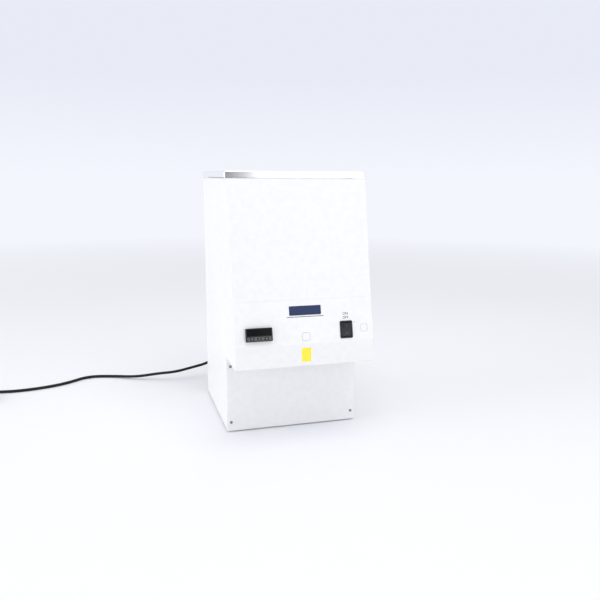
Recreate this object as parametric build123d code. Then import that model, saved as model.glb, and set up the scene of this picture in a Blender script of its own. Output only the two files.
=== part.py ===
from build123d import *
import math
import os

# Benchtop paraffin wax dispenser, in millimetres.
# +Z is up, -Y is the front that faces the user and +X is the user's right.
# The origin is on the bench, at the middle of the object's width and depth.
# A heated tank hangs from the top deck under a hinged lid. A pipe leads from
# the tank floor to a solenoid valve in the nose, whose spout pours the wax.

# ---------------------------------------------------------------- cabinet
CABINET_WIDTH = 260.0
FOOT_HEIGHT = 2.5
DECK_HEIGHT = 485.0
NOSE_REACH = 93.0
NOSE_FLOOR_HEIGHT = 150.3
LIP_HEIGHT = 41.7
CREASE_REACH = 75.3
CREASE_HEIGHT = 270.5
BROW_REACH = 34.0
SHEET = 1.5
FLANGE = 12.0
BEND_RADIUS = 2.0
PANEL_GAP = 0.4
LOWER_PANEL_MARGIN = 1.0
CUTOUT_CLEARANCE = 0.15
REAR_FITTING_PROUD = 10.0
TANK_LENGTH = 245.0
TANK_FRONT_SETBACK = 20.0
TANK_BACK_SETBACK = 24.0

BASE_DEPTH = TANK_LENGTH + TANK_FRONT_SETBACK + TANK_BACK_SETBACK - BROW_REACH
BASE_FRONT_Y = (NOSE_REACH - BASE_DEPTH - REAR_FITTING_PROUD) / 2
BASE_BACK_Y = BASE_FRONT_Y + BASE_DEPTH
NOSE_FRONT_Y = BASE_FRONT_Y - NOSE_REACH
CREASE_Y = BASE_FRONT_Y - CREASE_REACH
BROW_Y = BASE_FRONT_Y - BROW_REACH
LIP_TOP = NOSE_FLOOR_HEIGHT + LIP_HEIGHT
SIDE_X = CABINET_WIDTH / 2
INSIDE_X = SIDE_X - SHEET
PAN_TOP = FOOT_HEIGHT + SHEET
DECK_UNDERSIDE = DECK_HEIGHT - SHEET
NOSE_FLOOR_TOP = NOSE_FLOOR_HEIGHT + SHEET
CONTROL_DROP = CREASE_HEIGHT - LIP_TOP
CONTROL_RUN = NOSE_REACH - CREASE_REACH
CONTROL_LENGTH = math.hypot(CONTROL_DROP, CONTROL_RUN)
CONTROL_NORMAL = (0, -CONTROL_DROP / CONTROL_LENGTH, CONTROL_RUN / CONTROL_LENGTH)

# ------------------------------------------------------- screws and vents
SCREW_RADIUS = 1.5
SCREW_HEAD_RADIUS = 2.8
SCREW_HEAD_HEIGHT = 1.8
SCREW_RIM_HEIGHT = 0.8
SCREW_CROWN_RADIUS = 2.0
SCREW_LENGTH = 6.0
SCREW_CLEARANCE = 0.1
SCREW_MARGIN = 7.5
LOWER_SCREW_RISE = 17.5
UPPER_SCREW_DROP = 18.3
BACK_SCREWS = 5
BACK_SCREW_DROP = 32.0
VENT_COLUMNS = 2
VENT_ROWS = 8
VENT_LENGTH = 34.0
VENT_WIDTH = 3.0
VENT_PITCH_X = 42.0
VENT_PITCH_Z = 10.0
VENT_X = 72.0
VENT_Z = 70.0
FLOOR_VENT_COLUMNS = 3
FLOOR_VENT_ROWS = 6
FLOOR_VENT_Y = 40.0
FOOT_RADIUS = 9.0
FOOT_INSET = 22.0
FOOT_STEM_RADIUS = 2.9
FOOT_BARB_RADIUS = 4.2
FOOT_BARB_HEIGHT = 2.0

# -------------------------------------------------------- tank and jacket
TANK_WIDTH = 220.0
FLOOR_RISE = 10.0
TANK_WALL = 1.2
TANK_CORNER = 22.0
TANK_FLOOR_RADIUS = 9.0
RIM_WIDTH = 8.0
TANK_CLEARANCE = 0.5
HEATER_THICKNESS = 2.0
HEATER_MARGIN = 30.0
HEATER_RISE = 25.0
JACKET_GAP = 1.0
JACKET_CLEARANCE = 2.0
BOARD_THICKNESS = 30.0
SHELF_LIP = 15.0
PROBE_SIZE = (12.0, 30.0, 6.0)
PROBE_X = 45.0
THERMOSTAT_RADIUS = 8.0
THERMOSTAT_HEIGHT = 9.0
SENSOR_REACH = 65.0

TANK_FRONT_Y = BROW_Y + TANK_FRONT_SETBACK
TANK_BACK_Y = TANK_FRONT_Y + TANK_LENGTH
TANK_MIDDLE_Y = (TANK_FRONT_Y + TANK_BACK_Y) / 2
RIM_TOP = DECK_HEIGHT + TANK_WALL
JACKET_INNER = HEATER_THICKNESS + JACKET_GAP

# ---------------------------------------------------- outlet pipe and tap
OUTLET_SETBACK = 22.0
PIPE_RADIUS = 6.0
PIPE_BORE = 4.5
PIPE_BEND = 20.0
PIPE_INSERT = 8.0
BOSS_RADIUS = 11.0
BOSS_HEIGHT = 4.0
STRAINER_RADIUS = 9.5
STRAINER_HEIGHT = 16.0
STRAINER_WALL = 0.8
STRAINER_SLOTS = 12
STRAINER_SLOT_WIDTH = 1.6
FIT = 0.05
TAP_SETBACK = 45.0
VALVE_WIDTH = 36.0
VALVE_LENGTH = 40.0
VALVE_HEIGHT = 30.0
VALVE_RISE = 13.2
CHAMBER_RADIUS = 8.0
SEAT_HEIGHT = 11.0
SEAT_BORE = 3.5
SEAT_LIP_RADIUS = 5.0
SEAT_LIP_HEIGHT = 2.0
INLET_HEIGHT = 20.0
SPOUT_RADIUS = 5.5
SPOUT_BORE = 3.5
SPOUT_DROP = 13.3
SPOUT_THREAD_RADIUS = 5.0
SPOUT_THREAD = 7.0
COLLAR_RADIUS = 13.0
COLLAR_THICKNESS = 3.0
COLLAR_NECK_RADIUS = 8.0
COLLAR_CLEARANCE = 0.3
BRACKET_FOOT = 14.0
CORE_RADIUS = 6.5
CORE_BORE = 5.1
CORE_FLANGE_RADIUS = 13.0
CORE_FLANGE = 3.0
CORE_HEIGHT = 40.0
CORE_STOP = 7.0
CORE_STUD_RADIUS = 3.0
COIL_WIDTH = 32.0
COIL_LENGTH = 38.0
COIL_HEIGHT = 37.0
COIL_FILLET = 4.0
COIL_NUT_RADIUS = 5.5
COIL_NUT_HEIGHT = 4.0
PLUNGER_RADIUS = 5.05
PLUNGER_LENGTH = 34.0
PLUNGER_STROKE = 3.0
SEAL_THICKNESS = 1.5
SEAL_RADIUS = 4.6
SPRING_RADIUS = 3.6
SPRING_WIRE = 0.8
SPRING_TURNS = 4
CARTRIDGE_RADIUS = 3.25
CARTRIDGE_LENGTH = 42.0
CARTRIDGE_OFFSET = 14.0
CARTRIDGE_HEIGHT = 9.0
SHELF_CLEARANCE = 3.0

TAP_Y = BASE_FRONT_Y - TAP_SETBACK
VALVE_BASE = NOSE_FLOOR_TOP + VALVE_RISE
VALVE_TOP = VALVE_BASE + VALVE_HEIGHT
SEAT_TOP = VALVE_BASE + SEAT_HEIGHT + SEAT_LIP_HEIGHT
PIPE_LEVEL = VALVE_BASE + INLET_HEIGHT
PLUNGER_BASE = SEAT_TOP + SEAL_THICKNESS
PLUNGER_TOP = PLUNGER_BASE + PLUNGER_LENGTH
CORE_TOP = VALVE_TOP + CORE_HEIGHT
CORE_STUD_TOP = CORE_TOP + COIL_NUT_HEIGHT + SHEET
STOP_FACE = CORE_TOP - CORE_STOP
OUTLET_Y = TANK_FRONT_Y + OUTLET_SETBACK
VALVE_BACK_Y = TAP_Y + VALVE_LENGTH / 2
SHELF_HEIGHT = CORE_STUD_TOP + SHELF_CLEARANCE
SHELF_TOP = SHELF_HEIGHT + SHEET
TANK_FLOOR_Z = SHELF_TOP + BOARD_THICKNESS

# -------------------------------------------------------- front controls
CONTROLS_RISE = 21.47
BEZEL_WIDTH = 48.0
BEZEL_HEIGHT = 24.0
BEZEL_PROUD = 6.0
BEZEL_CORNER = 1.5
CONTROLLER_X = -86.75
CONTROLLER_BODY_WIDTH = 45.0
CONTROLLER_BODY_HEIGHT = 22.2
CONTROLLER_BODY_DEPTH = 92.0
WINDOW_WIDTH = 44.0
WINDOW_HEIGHT = 12.4
WINDOW_RISE = 4.4
WINDOW_THICKNESS = 1.2
KEYPAD_HEIGHT = 7.0
KEYPAD_DROP = 7.0
KEYPAD_THICKNESS = 0.8
KEY_PITCH = 13.0
KEY_WIDTH = 8.0
KEY_HEIGHT = 4.0
KEY_PROUD = 0.6
KEY_CORNER = 1.0
KEY_FLANGE = 0.5
KEY_TRAVEL = 0.6
KEY_CLEARANCE = 0.15
CLIP_WALL = 3.0
CLIP_DEPTH = 9.0
SWITCH_X = 77.8
SWITCH_WIDTH = 24.0
SWITCH_HEIGHT = 32.0
SWITCH_CORNER = 2.5
SWITCH_PROUD = 2.0
SWITCH_BODY_WIDTH = 21.8
SWITCH_BODY_HEIGHT = 29.8
SWITCH_BODY_DEPTH = 24.0
ROCKER_WIDTH = 17.8
ROCKER_RADIUS = 13.4
ROCKER_PIVOT_DEPTH = 4.0
ROCKER_CREST = 3.2
ROCKER_ANGLE = 10.0
ROCKER_BELLY = 5.0
ROCKER_PIN_RADIUS = 1.25
ROCKER_PIN_REACH = 1.6
ROCKER_CLEARANCE = 0.25
BLADE_WIDTH = 6.3
BLADE_THICKNESS = 0.8
BLADE_LENGTH = 8.0

# ------------------------------------------------------------ lid, hinge
LID_OVERHANG = 2.5
LID_FRONT_SETBACK = 10.0
LID_BACK_SETBACK = 10.0
LID_GAP = 2.0
LID_HEIGHT = 10.5
LID_SHEET = 1.2
LID_CORNER = 3.0
LID_EDGE_RADIUS = 1.6
LID_HEM = 3.0
SKIN_THICKNESS = 1.0
SEAL_RING_MARGIN = 1.0
SEAL_RING_WIDTH = 4.0
SEAL_RING_GAP = 0.15
HINGE_LENGTH = 240.0
KNUCKLES = 11
KNUCKLE_GAP = 0.3
BARREL_RADIUS = 2.75
HINGE_PIN_RADIUS = 1.5
HINGE_RISE = 3.0
LEAF_THICKNESS = 1.0
LID_LEAF_HEIGHT = 6.0
BACK_LEAF_DROP = 24.0
HINGE_SCREWS = 4

LID_FRONT_Y = BROW_Y + LID_FRONT_SETBACK
LID_BACK_Y = BASE_BACK_Y - LID_BACK_SETBACK
LID_X = SIDE_X + LID_OVERHANG
LID_BASE = DECK_HEIGHT + LID_GAP
LID_TOP = LID_BASE + LID_HEIGHT
SKIN_BASE = LID_BASE + LID_SHEET
HINGE_Y = LID_BACK_Y + BARREL_RADIUS + KNUCKLE_GAP
HINGE_Z = LID_BASE + HINGE_RISE
KNUCKLE_PITCH = HINGE_LENGTH / KNUCKLES

# ------------------------------------------------------- rear and electrics
SERVICE_HEIGHT = 55.0
GLAND_X = -85.0
GLAND_HEX_RADIUS = 11.0
GLAND_THREAD_RADIUS = 8.0
GLAND_THREAD_LENGTH = 9.0
LOCKNUT_THICKNESS = 4.0
CORD_DIAMETER = 6.5
RELIEF_LENGTH = 40.0
RELIEF_ROOT_RADIUS = 7.5
RELIEF_TIP_RADIUS = 4.6
RELIEF_GROOVES = 5
RELIEF_GROOVE_WIDTH = 2.4
RELIEF_GROOVE_DEPTH = 1.0
FUSE_X = -48.0
FUSE_FLANGE_RADIUS = 8.5
FUSE_FLANGE = 2.0
FUSE_BODY_RADIUS = 6.2
FUSE_BODY_LENGTH = 32.0
FUSE_CAP_RADIUS = 6.8
FUSE_CAP_FLUTES = 12
FUSE_FLUTE_RADIUS = 0.75
MAINS_SWITCH_X = -8.0
TERMINAL_WAYS = 8
TERMINAL_PITCH = 10.0
TERMINAL_DEPTH = 22.0
TERMINAL_HEIGHT = 17.0
TERMINAL_WELL_RADIUS = 2.2
RELAY_X = -30.0
TRANSFORMER_X = 62.0
RELAY_SIZE = (45.0, 58.0, 22.0)
SINK_FINS = 7
SINK_SIZE = (60.0, 70.0, 28.0)
SINK_BASE = 5.0
SINK_FIN = 2.0
CORE_SIZE = (66.0, 22.0, 55.0)
WINDING_SIZE = (46.0, 46.0, 30.0)

# ------------------------------------------------------------------- cord
# Free stretch of the flex past its straight lead from the strain relief: down
# to the bench and away to the left. The stored coil takes over at its end.
CORD_LEAD = 30.0
CORD_ROUTE = [
    (-96, 273, 48),
    (-120, 285, 38),
    (-154, 277, 30),
    (-194, 262, 24),
    (-236, 286, 16),
    (-285, 302, 7),
    (-338, 334, 3.5),
    (-398, 349, 3.5),
    (-445, 306, 3.5),
    (-499, 284, 3.5),
    (-558, 275, 3.5),
    (-600, 283, 3.5),
    (-633.5, 280, 3.5),
]
COIL_OUTER_RADIUS = 47.0
COIL_PITCH = 7.0
COIL_HALF_TURNS = 6
COIL_EXIT_RADIUS = 62.0
COIL_SAMPLES = 12
PLUG_WIDTH = 50.0
PLUG_LENGTH = 46.0
PLUG_THICKNESS = 20.0
PLUG_TAPER = 8.0
PLUG_EDGE = 2.5
PLUG_SLEEVE_LENGTH = 12.0
PLUG_SLEEVE_RADIUS = 4.9
PIN_LENGTH = 18.0
EARTH_PIN = (4.0, 8.0)
EARTH_PIN_Y = -12.0
LINE_PIN = (6.4, 4.0)
LINE_PIN_X = 11.1
LINE_PIN_Y = -34.2


# ---------------------------------------------------------------- helpers
def block(x, y, z):
    """Solid block between a low and a high limit along each axis."""
    size = [high - low for low, high in (x, y, z)]
    middle = [(low + high) / 2 for low, high in (x, y, z)]
    return Pos(*middle) * Box(*size)


def rod(point, direction, radius, length):
    """Round bar that starts at a point."""
    return extrude(Plane(origin=point, z_dir=direction) * Circle(radius), amount=length)


def hex_bar(point, direction, radius, length):
    """Hexagonal bar; the radius is half the width across its flats."""
    outline = RegularPolygon(radius, 6, major_radius=False)
    return extrude(Plane(origin=point, z_dir=direction) * outline, amount=length)


def rounded_slab(x, y, z, corner):
    """Block whose four upright edges are rounded."""
    outline = RectangleRounded(x[1] - x[0], y[1] - y[0], corner)
    centre = ((x[0] + x[1]) / 2, (y[0] + y[1]) / 2, z[0])
    return extrude(Pos(*centre) * outline, amount=z[1] - z[0])


def across(face, low_x, high_x):
    """Push a (y, z) face through the cabinet from one X to another."""
    return extrude(Plane.YZ.offset(low_x) * face, amount=high_x - low_x)


def region(y, z):
    """Rectangle in (y, z) between limits."""
    outline = Rectangle(y[1] - y[0], z[1] - z[0])
    return Pos((y[0] + y[1]) / 2, (z[0] + z[1]) / 2) * outline


def turned(points):
    """Solid of revolution about Z from (radius, height) corners."""
    corners = [(radius, 0, height) for radius, height in points]
    return revolve(make_face(Polyline(*corners, close=True)), Axis.Z)


def placed(shape, point, direction):
    """Move a shape made on the XY plane so that its +Z follows a direction."""
    return Plane(origin=point, z_dir=direction).location * shape


def screw():
    """Pan-head screw, seated at the origin with its head along +Z."""
    return turned([
        (0, SCREW_HEAD_HEIGHT),
        (SCREW_CROWN_RADIUS, SCREW_HEAD_HEIGHT),
        (SCREW_HEAD_RADIUS, SCREW_RIM_HEIGHT),
        (SCREW_HEAD_RADIUS, 0),
        (SCREW_RADIUS, 0),
        (SCREW_RADIUS, -SCREW_LENGTH),
        (0, -SCREW_LENGTH),
    ])


def screws_at(points, direction):
    """Separate screws, one at each point."""
    return [placed(screw(), point, direction) for point in points]


def screw_holes(points, direction):
    """Clearance holes for screws at the points."""
    radius = SCREW_RADIUS + SCREW_CLEARANCE
    holes = []
    for point in points:
        start = Vector(*point) - Vector(*direction) * SCREW_LENGTH
        holes.append(rod(tuple(start), direction, radius, 2 * SCREW_LENGTH))
    return holes


def both_sides(x):
    return (-x, x)


# ---------------------------------------------------------------- cabinet
def side_outline(inset, drop=0.0):
    """Side view of the cabinet in (y, z), set in from its outer faces."""
    corners = [
        (BASE_FRONT_Y, FOOT_HEIGHT - drop),
        (BASE_FRONT_Y, NOSE_FLOOR_HEIGHT),
        (NOSE_FRONT_Y, NOSE_FLOOR_HEIGHT),
        (NOSE_FRONT_Y, LIP_TOP),
        (CREASE_Y, CREASE_HEIGHT),
        (BROW_Y, DECK_HEIGHT),
        (BASE_BACK_Y, DECK_HEIGHT),
        (BASE_BACK_Y, FOOT_HEIGHT - drop),
    ]
    face = make_face(Polyline(*corners, close=True))
    if not inset:
        return face
    return offset(face, amount=-inset, kind=Kind.INTERSECTION)


def lower_screw_points():
    heights = (FOOT_HEIGHT + LOWER_SCREW_RISE, NOSE_FLOOR_HEIGHT - UPPER_SCREW_DROP)
    return [
        (x, BASE_FRONT_Y, z)
        for x in both_sides(SIDE_X - SCREW_MARGIN)
        for z in heights
    ]


def back_screw_points():
    low = FOOT_HEIGHT + LOWER_SCREW_RISE
    step = (DECK_HEIGHT - BACK_SCREW_DROP - low) / (BACK_SCREWS - 1)
    return [
        (x, BASE_BACK_Y, low + step * row)
        for x in both_sides(SIDE_X - SCREW_MARGIN)
        for row in range(BACK_SCREWS)
    ]


def side_panel(holes):
    """Right side: a sheet-metal pan with its flanges turned inward."""
    plate = across(side_outline(SHEET, drop=SHEET), INSIDE_X, SIDE_X)
    rim = side_outline(SHEET) - side_outline(2 * SHEET)
    return plate + across(rim, INSIDE_X - FLANGE, INSIDE_X) - holes


def upper_front_panel():
    """Leaning plate from the crease up to the deck."""
    skin = side_outline(0) - side_outline(SHEET)
    height = (CREASE_HEIGHT + PANEL_GAP / 2, DECK_UNDERSIDE)
    face = skin & region((NOSE_FRONT_Y, BROW_Y + BEND_RADIUS * 2), height)
    return across(face, -SIDE_X, SIDE_X)


def control_panel():
    """One folded sheet: sloping control face, lip and underside of the nose."""
    skin = side_outline(0) - side_outline(SHEET)
    depth = (NOSE_FRONT_Y, BASE_FRONT_Y + SHEET)
    face = skin & region(depth, (NOSE_FLOOR_HEIGHT, CREASE_HEIGHT - PANEL_GAP / 2))
    outer = face.vertices().filter_by(lambda v: abs(v.X - NOSE_FRONT_Y) < SHEET / 4)
    face = fillet(outer, BEND_RADIUS)
    panel = across(face, -SIDE_X, SIDE_X)
    inner_x = INSIDE_X - FLANGE - TANK_CLEARANCE
    tongue_face = side_outline(SHEET) - side_outline(2 * SHEET)
    tongue_face &= region((NOSE_FRONT_Y, BROW_Y), (CREASE_HEIGHT - FLANGE, CREASE_HEIGHT + FLANGE))
    tongue = across(tongue_face, -inner_x, inner_x)
    hem_y = (BASE_FRONT_Y + SHEET, BASE_FRONT_Y + 2 * SHEET)
    hem = block((-inner_x, inner_x), hem_y, (NOSE_FLOOR_HEIGHT - FLANGE, NOSE_FLOOR_TOP))
    panel = panel + tongue + hem
    panel -= panel_cutout(CONTROLLER_X, CONTROLLER_BODY_WIDTH, CONTROLLER_BODY_HEIGHT)
    panel -= panel_cutout(SWITCH_X, SWITCH_BODY_WIDTH, SWITCH_BODY_HEIGHT)
    hole = COLLAR_NECK_RADIUS + CUTOUT_CLEARANCE
    return panel - rod((0, TAP_Y, NOSE_FLOOR_HEIGHT - SHEET), (0, 0, 1), hole, 4 * SHEET)


def lower_front_panel(holes):
    """Removable access panel under the nose."""
    edge = SIDE_X - LOWER_PANEL_MARGIN
    depth = (BASE_FRONT_Y, BASE_FRONT_Y + SHEET)
    height = (FOOT_HEIGHT, NOSE_FLOOR_HEIGHT - PANEL_GAP)
    panel = block((-edge, edge), depth, height)
    return panel - holes


def back_panel(holes):
    """Full-height rear cover with its vents and service cut-outs."""
    edge = SIDE_X - LOWER_PANEL_MARGIN
    depth = (BASE_BACK_Y - SHEET, BASE_BACK_Y)
    panel = block((-edge, edge), depth, (FOOT_HEIGHT, DECK_UNDERSIDE))
    rear = Plane(origin=(0, BASE_BACK_Y, 0), x_dir=(-1, 0, 0), z_dir=(0, 1, 0))
    slots = GridLocations(VENT_PITCH_X, VENT_PITCH_Z, VENT_COLUMNS, VENT_ROWS)
    for slot in slots:
        vent = rear * Pos(-VENT_X, VENT_Z) * slot * SlotOverall(VENT_LENGTH, VENT_WIDTH)
        panel -= extrude(vent, amount=-2 * SHEET)
    fittings = (
        (GLAND_X, GLAND_THREAD_RADIUS),
        (FUSE_X, FUSE_BODY_RADIUS),
    )
    for x, radius in fittings:
        start = (x, BASE_BACK_Y - 2 * SHEET, SERVICE_HEIGHT)
        panel -= rod(start, (0, 1, 0), radius + CUTOUT_CLEARANCE, 4 * SHEET)
    width = SWITCH_BODY_WIDTH + 2 * CUTOUT_CLEARANCE
    height = SWITCH_BODY_HEIGHT + 2 * CUTOUT_CLEARANCE
    opening = rear * Pos(-MAINS_SWITCH_X, SERVICE_HEIGHT) * Rectangle(width, height)
    return panel - extrude(opening, amount=-2 * SHEET) - holes


def top_deck():
    """Flat deck with the rounded opening that the tank hangs in."""
    deck = block((-SIDE_X, SIDE_X), (BROW_Y, BASE_BACK_Y), (DECK_UNDERSIDE, DECK_HEIGHT))
    return deck - tank_prism(TANK_CLEARANCE, DECK_UNDERSIDE - SHEET, DECK_HEIGHT + SHEET)


def foot_points():
    return [
        (x, y)
        for x in both_sides(SIDE_X - FOOT_INSET)
        for y in (BASE_FRONT_Y + FOOT_INSET, BASE_BACK_Y - FOOT_INSET)
    ]


def base_pan():
    """Floor of the cabinet, with intake slots and holes for the feet."""
    depth = (BASE_FRONT_Y + SHEET, BASE_BACK_Y - SHEET)
    pan = block((-INSIDE_X, INSIDE_X), depth, (FOOT_HEIGHT, PAN_TOP))
    spots = GridLocations(VENT_PITCH_X, VENT_PITCH_Z, FLOOR_VENT_COLUMNS, FLOOR_VENT_ROWS)
    for spot in spots:
        slot = Pos(0, FLOOR_VENT_Y) * spot * SlotOverall(VENT_LENGTH, VENT_WIDTH)
        pan -= extrude(slot, amount=2 * PAN_TOP)
    for x, y in foot_points():
        radius = FOOT_STEM_RADIUS + CUTOUT_CLEARANCE
        pan -= rod((x, y, 0), (0, 0, 1), radius, 2 * PAN_TOP)
    return pan


def rubber_feet():
    """Four push-in feet, each held by a barb above the pan."""
    barb_top = PAN_TOP + FOOT_BARB_HEIGHT
    foot = turned([
        (0, 0),
        (FOOT_RADIUS - FOOT_HEIGHT / 4, 0),
        (FOOT_RADIUS, FOOT_HEIGHT / 4),
        (FOOT_RADIUS, FOOT_HEIGHT),
        (FOOT_STEM_RADIUS, FOOT_HEIGHT),
        (FOOT_STEM_RADIUS, PAN_TOP),
        (FOOT_BARB_RADIUS, PAN_TOP),
        (FOOT_STEM_RADIUS, barb_top),
        (0, barb_top),
    ])
    return Compound(children=[Pos(x, y, 0) * foot for x, y in foot_points()])


# --------------------------------------------------------- tank and jacket
def tank_prism(grow, low, high):
    """Upright prism with the tank's plan outline, grown by a margin."""
    half = TANK_WIDTH / 2 + grow
    depth = (TANK_FRONT_Y - grow, TANK_BACK_Y + grow)
    return rounded_slab((-half, half), depth, (low, high), TANK_CORNER + grow)


def floor_height(y):
    """Height of the tank floor's underside, which falls towards the front."""
    return TANK_FLOOR_Z + FLOOR_RISE * (y - TANK_FRONT_Y) / TANK_LENGTH


def floor_plane(x, y):
    """Plane on the tank floor's underside, with its normal pointing down."""
    slope = math.atan2(FLOOR_RISE, TANK_LENGTH)
    down = (0, math.sin(slope), -math.cos(slope))
    return Plane(origin=(x, y, floor_height(y)), x_dir=(1, 0, 0), z_dir=down)


def tank_form(inset, top):
    """Tank envelope: prism with a sloping floor and a rounded floor edge."""
    front, back = TANK_FRONT_Y + inset, TANK_BACK_Y - inset
    corners = [
        (front, floor_height(front) + inset),
        (back, floor_height(back) + inset),
        (back, top),
        (front, top),
    ]
    half = TANK_WIDTH / 2 - inset
    form = across(make_face(Polyline(*corners, close=True)), -half, half)
    form = fillet(form.edges().filter_by(Axis.Z), TANK_CORNER - inset)
    floor = form.faces().sort_by(Axis.Z)[0]
    return fillet(floor.edges(), TANK_FLOOR_RADIUS - inset)


def wax_tank():
    """Open stainless tank with a flat rim that hangs on the deck."""
    shell = tank_form(0, DECK_HEIGHT + TANK_WALL)
    shell += tank_prism(RIM_WIDTH, DECK_HEIGHT, RIM_TOP)
    shell -= tank_form(TANK_WALL, RIM_TOP + TANK_WALL)
    drain = rod((0, OUTLET_Y, TANK_FLOOR_Z - BOSS_HEIGHT), (0, 0, 1), PIPE_BORE, BOSS_RADIUS)
    return shell - drain


def side_heaters():
    """Silicone heater mats on the tank's two side walls."""
    inner = TANK_WIDTH / 2
    depth = (TANK_FRONT_Y + HEATER_MARGIN, TANK_BACK_Y - HEATER_MARGIN)
    height = (floor_height(TANK_BACK_Y) + HEATER_RISE, DECK_UNDERSIDE - HEATER_MARGIN)
    mat = block((inner, inner + HEATER_THICKNESS), depth, height)
    return Compound(children=[mat, mirror(mat, about=Plane.YZ)])


def sensor_y():
    return TANK_MIDDLE_Y + SENSOR_REACH


def floor_heater():
    """Heater mat under the tank floor, between the outlet and the sensors."""
    low = OUTLET_Y + HEATER_MARGIN
    high = sensor_y() - HEATER_MARGIN
    mat = Rectangle(TANK_WIDTH - 2 * HEATER_MARGIN, high - low)
    return extrude(floor_plane(0, (low + high) / 2) * mat, amount=HEATER_THICKNESS)


def jacket_wall():
    """Mineral-wool wall round the tank, standing on the shelf."""
    half = INSIDE_X - JACKET_CLEARANCE
    front = BROW_Y + 2 * SHEET + JACKET_CLEARANCE
    back = BASE_BACK_Y - SCREW_LENGTH - JACKET_GAP
    top = DECK_UNDERSIDE - SHEET - JACKET_GAP
    wall = rounded_slab((-half, half), (front, back), (SHELF_TOP, top), FLANGE)
    return wall - tank_prism(JACKET_INNER, SHELF_HEIGHT, DECK_HEIGHT)


def pipe_hole():
    start = (0, OUTLET_Y, SHELF_HEIGHT - SHELF_LIP)
    return rod(start, (0, 0, 1), BOSS_RADIUS + JACKET_GAP, BOARD_THICKNESS + 3 * SHELF_LIP)


def jacket_floor(obstacles):
    """Insulating board between the shelf and the tank floor."""
    front, back = TANK_FRONT_Y, TANK_BACK_Y
    gap = HEATER_THICKNESS + JACKET_GAP
    corners = [
        (front, SHELF_TOP),
        (back, SHELF_TOP),
        (back, floor_height(back) - gap),
        (front, floor_height(front) - gap),
    ]
    half = TANK_WIDTH / 2
    board = across(make_face(Polyline(*corners, close=True)), -half, half)
    board = board & tank_prism(0, SHELF_HEIGHT, DECK_HEIGHT)
    return board - obstacles - pipe_hole()


def support_shelf():
    """Sheet shelf that carries the insulation, with its sides turned down."""
    front = BROW_Y + 2 * SHEET
    back = BASE_BACK_Y - SCREW_LENGTH - JACKET_GAP
    shelf = block((-INSIDE_X, INSIDE_X), (front, back), (SHELF_HEIGHT, SHELF_TOP))
    lip_z = (SHELF_HEIGHT - SHELF_LIP, SHELF_HEIGHT)
    for low_x in (-INSIDE_X, INSIDE_X - SHEET):
        shelf += block((low_x, low_x + SHEET), (front, back), lip_z)
    return shelf - pipe_hole()


def temperature_probe():
    """Probe block clamped under the tank floor."""
    width, length, height = PROBE_SIZE
    body = extrude(floor_plane(PROBE_X, sensor_y()) * Rectangle(width, length), amount=height)
    return fillet(body.edges().filter_by(Axis.X), height / 4)


def overheat_thermostat():
    """Bimetal cut-out on a flange under the tank floor."""
    spot = floor_plane(-PROBE_X, sensor_y())
    flange = extrude(spot * SlotOverall(4 * THERMOSTAT_RADIUS, THERMOSTAT_RADIUS), amount=SHEET)
    can = extrude(spot * Circle(THERMOSTAT_RADIUS), amount=THERMOSTAT_HEIGHT)
    return flange + can


def sensor_pockets():
    """Room in the board for the probe and the thermostat."""
    reach = THERMOSTAT_HEIGHT + 2 * JACKET_GAP
    pockets = []
    for x in both_sides(PROBE_X):
        outline = Rectangle(5 * THERMOSTAT_RADIUS, 4 * THERMOSTAT_RADIUS + 2 * JACKET_GAP)
        pockets.append(extrude(floor_plane(x, sensor_y()) * outline, amount=reach))
    return pockets


# ------------------------------------------------------ outlet, valve, spout
def outlet_pipe(tank_envelope):
    """Stainless elbow from the tank floor forward into the valve."""
    elbow_y = OUTLET_Y - PIPE_BEND
    elbow_z = PIPE_LEVEL + PIPE_BEND
    end_y = VALVE_BACK_Y - PIPE_INSERT
    half_way = PIPE_BEND * math.sin(math.radians(45))
    path = Polyline((0, OUTLET_Y, TANK_FLOOR_Z + BOSS_HEIGHT), (0, OUTLET_Y, elbow_z))
    path += ThreePointArc(
        (0, OUTLET_Y, elbow_z),
        (0, elbow_y + half_way, elbow_z - half_way),
        (0, elbow_y, PIPE_LEVEL),
    )
    path += Line((0, elbow_y, PIPE_LEVEL), (0, end_y, PIPE_LEVEL))
    start = Plane(origin=(0, OUTLET_Y, TANK_FLOOR_Z + BOSS_HEIGHT), z_dir=(0, 0, -1))
    wall = start * (Circle(PIPE_RADIUS) - Circle(PIPE_BORE))
    boss_base = (0, OUTLET_Y, TANK_FLOOR_Z - BOSS_HEIGHT)
    boss = rod(boss_base, (0, 0, 1), BOSS_RADIUS, 2 * BOSS_HEIGHT)
    boss -= rod(boss_base, (0, 0, 1), (PIPE_RADIUS + PIPE_BORE) / 2, 2 * BOSS_HEIGHT)
    return sweep(wall, path=path) + boss - tank_envelope


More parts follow.
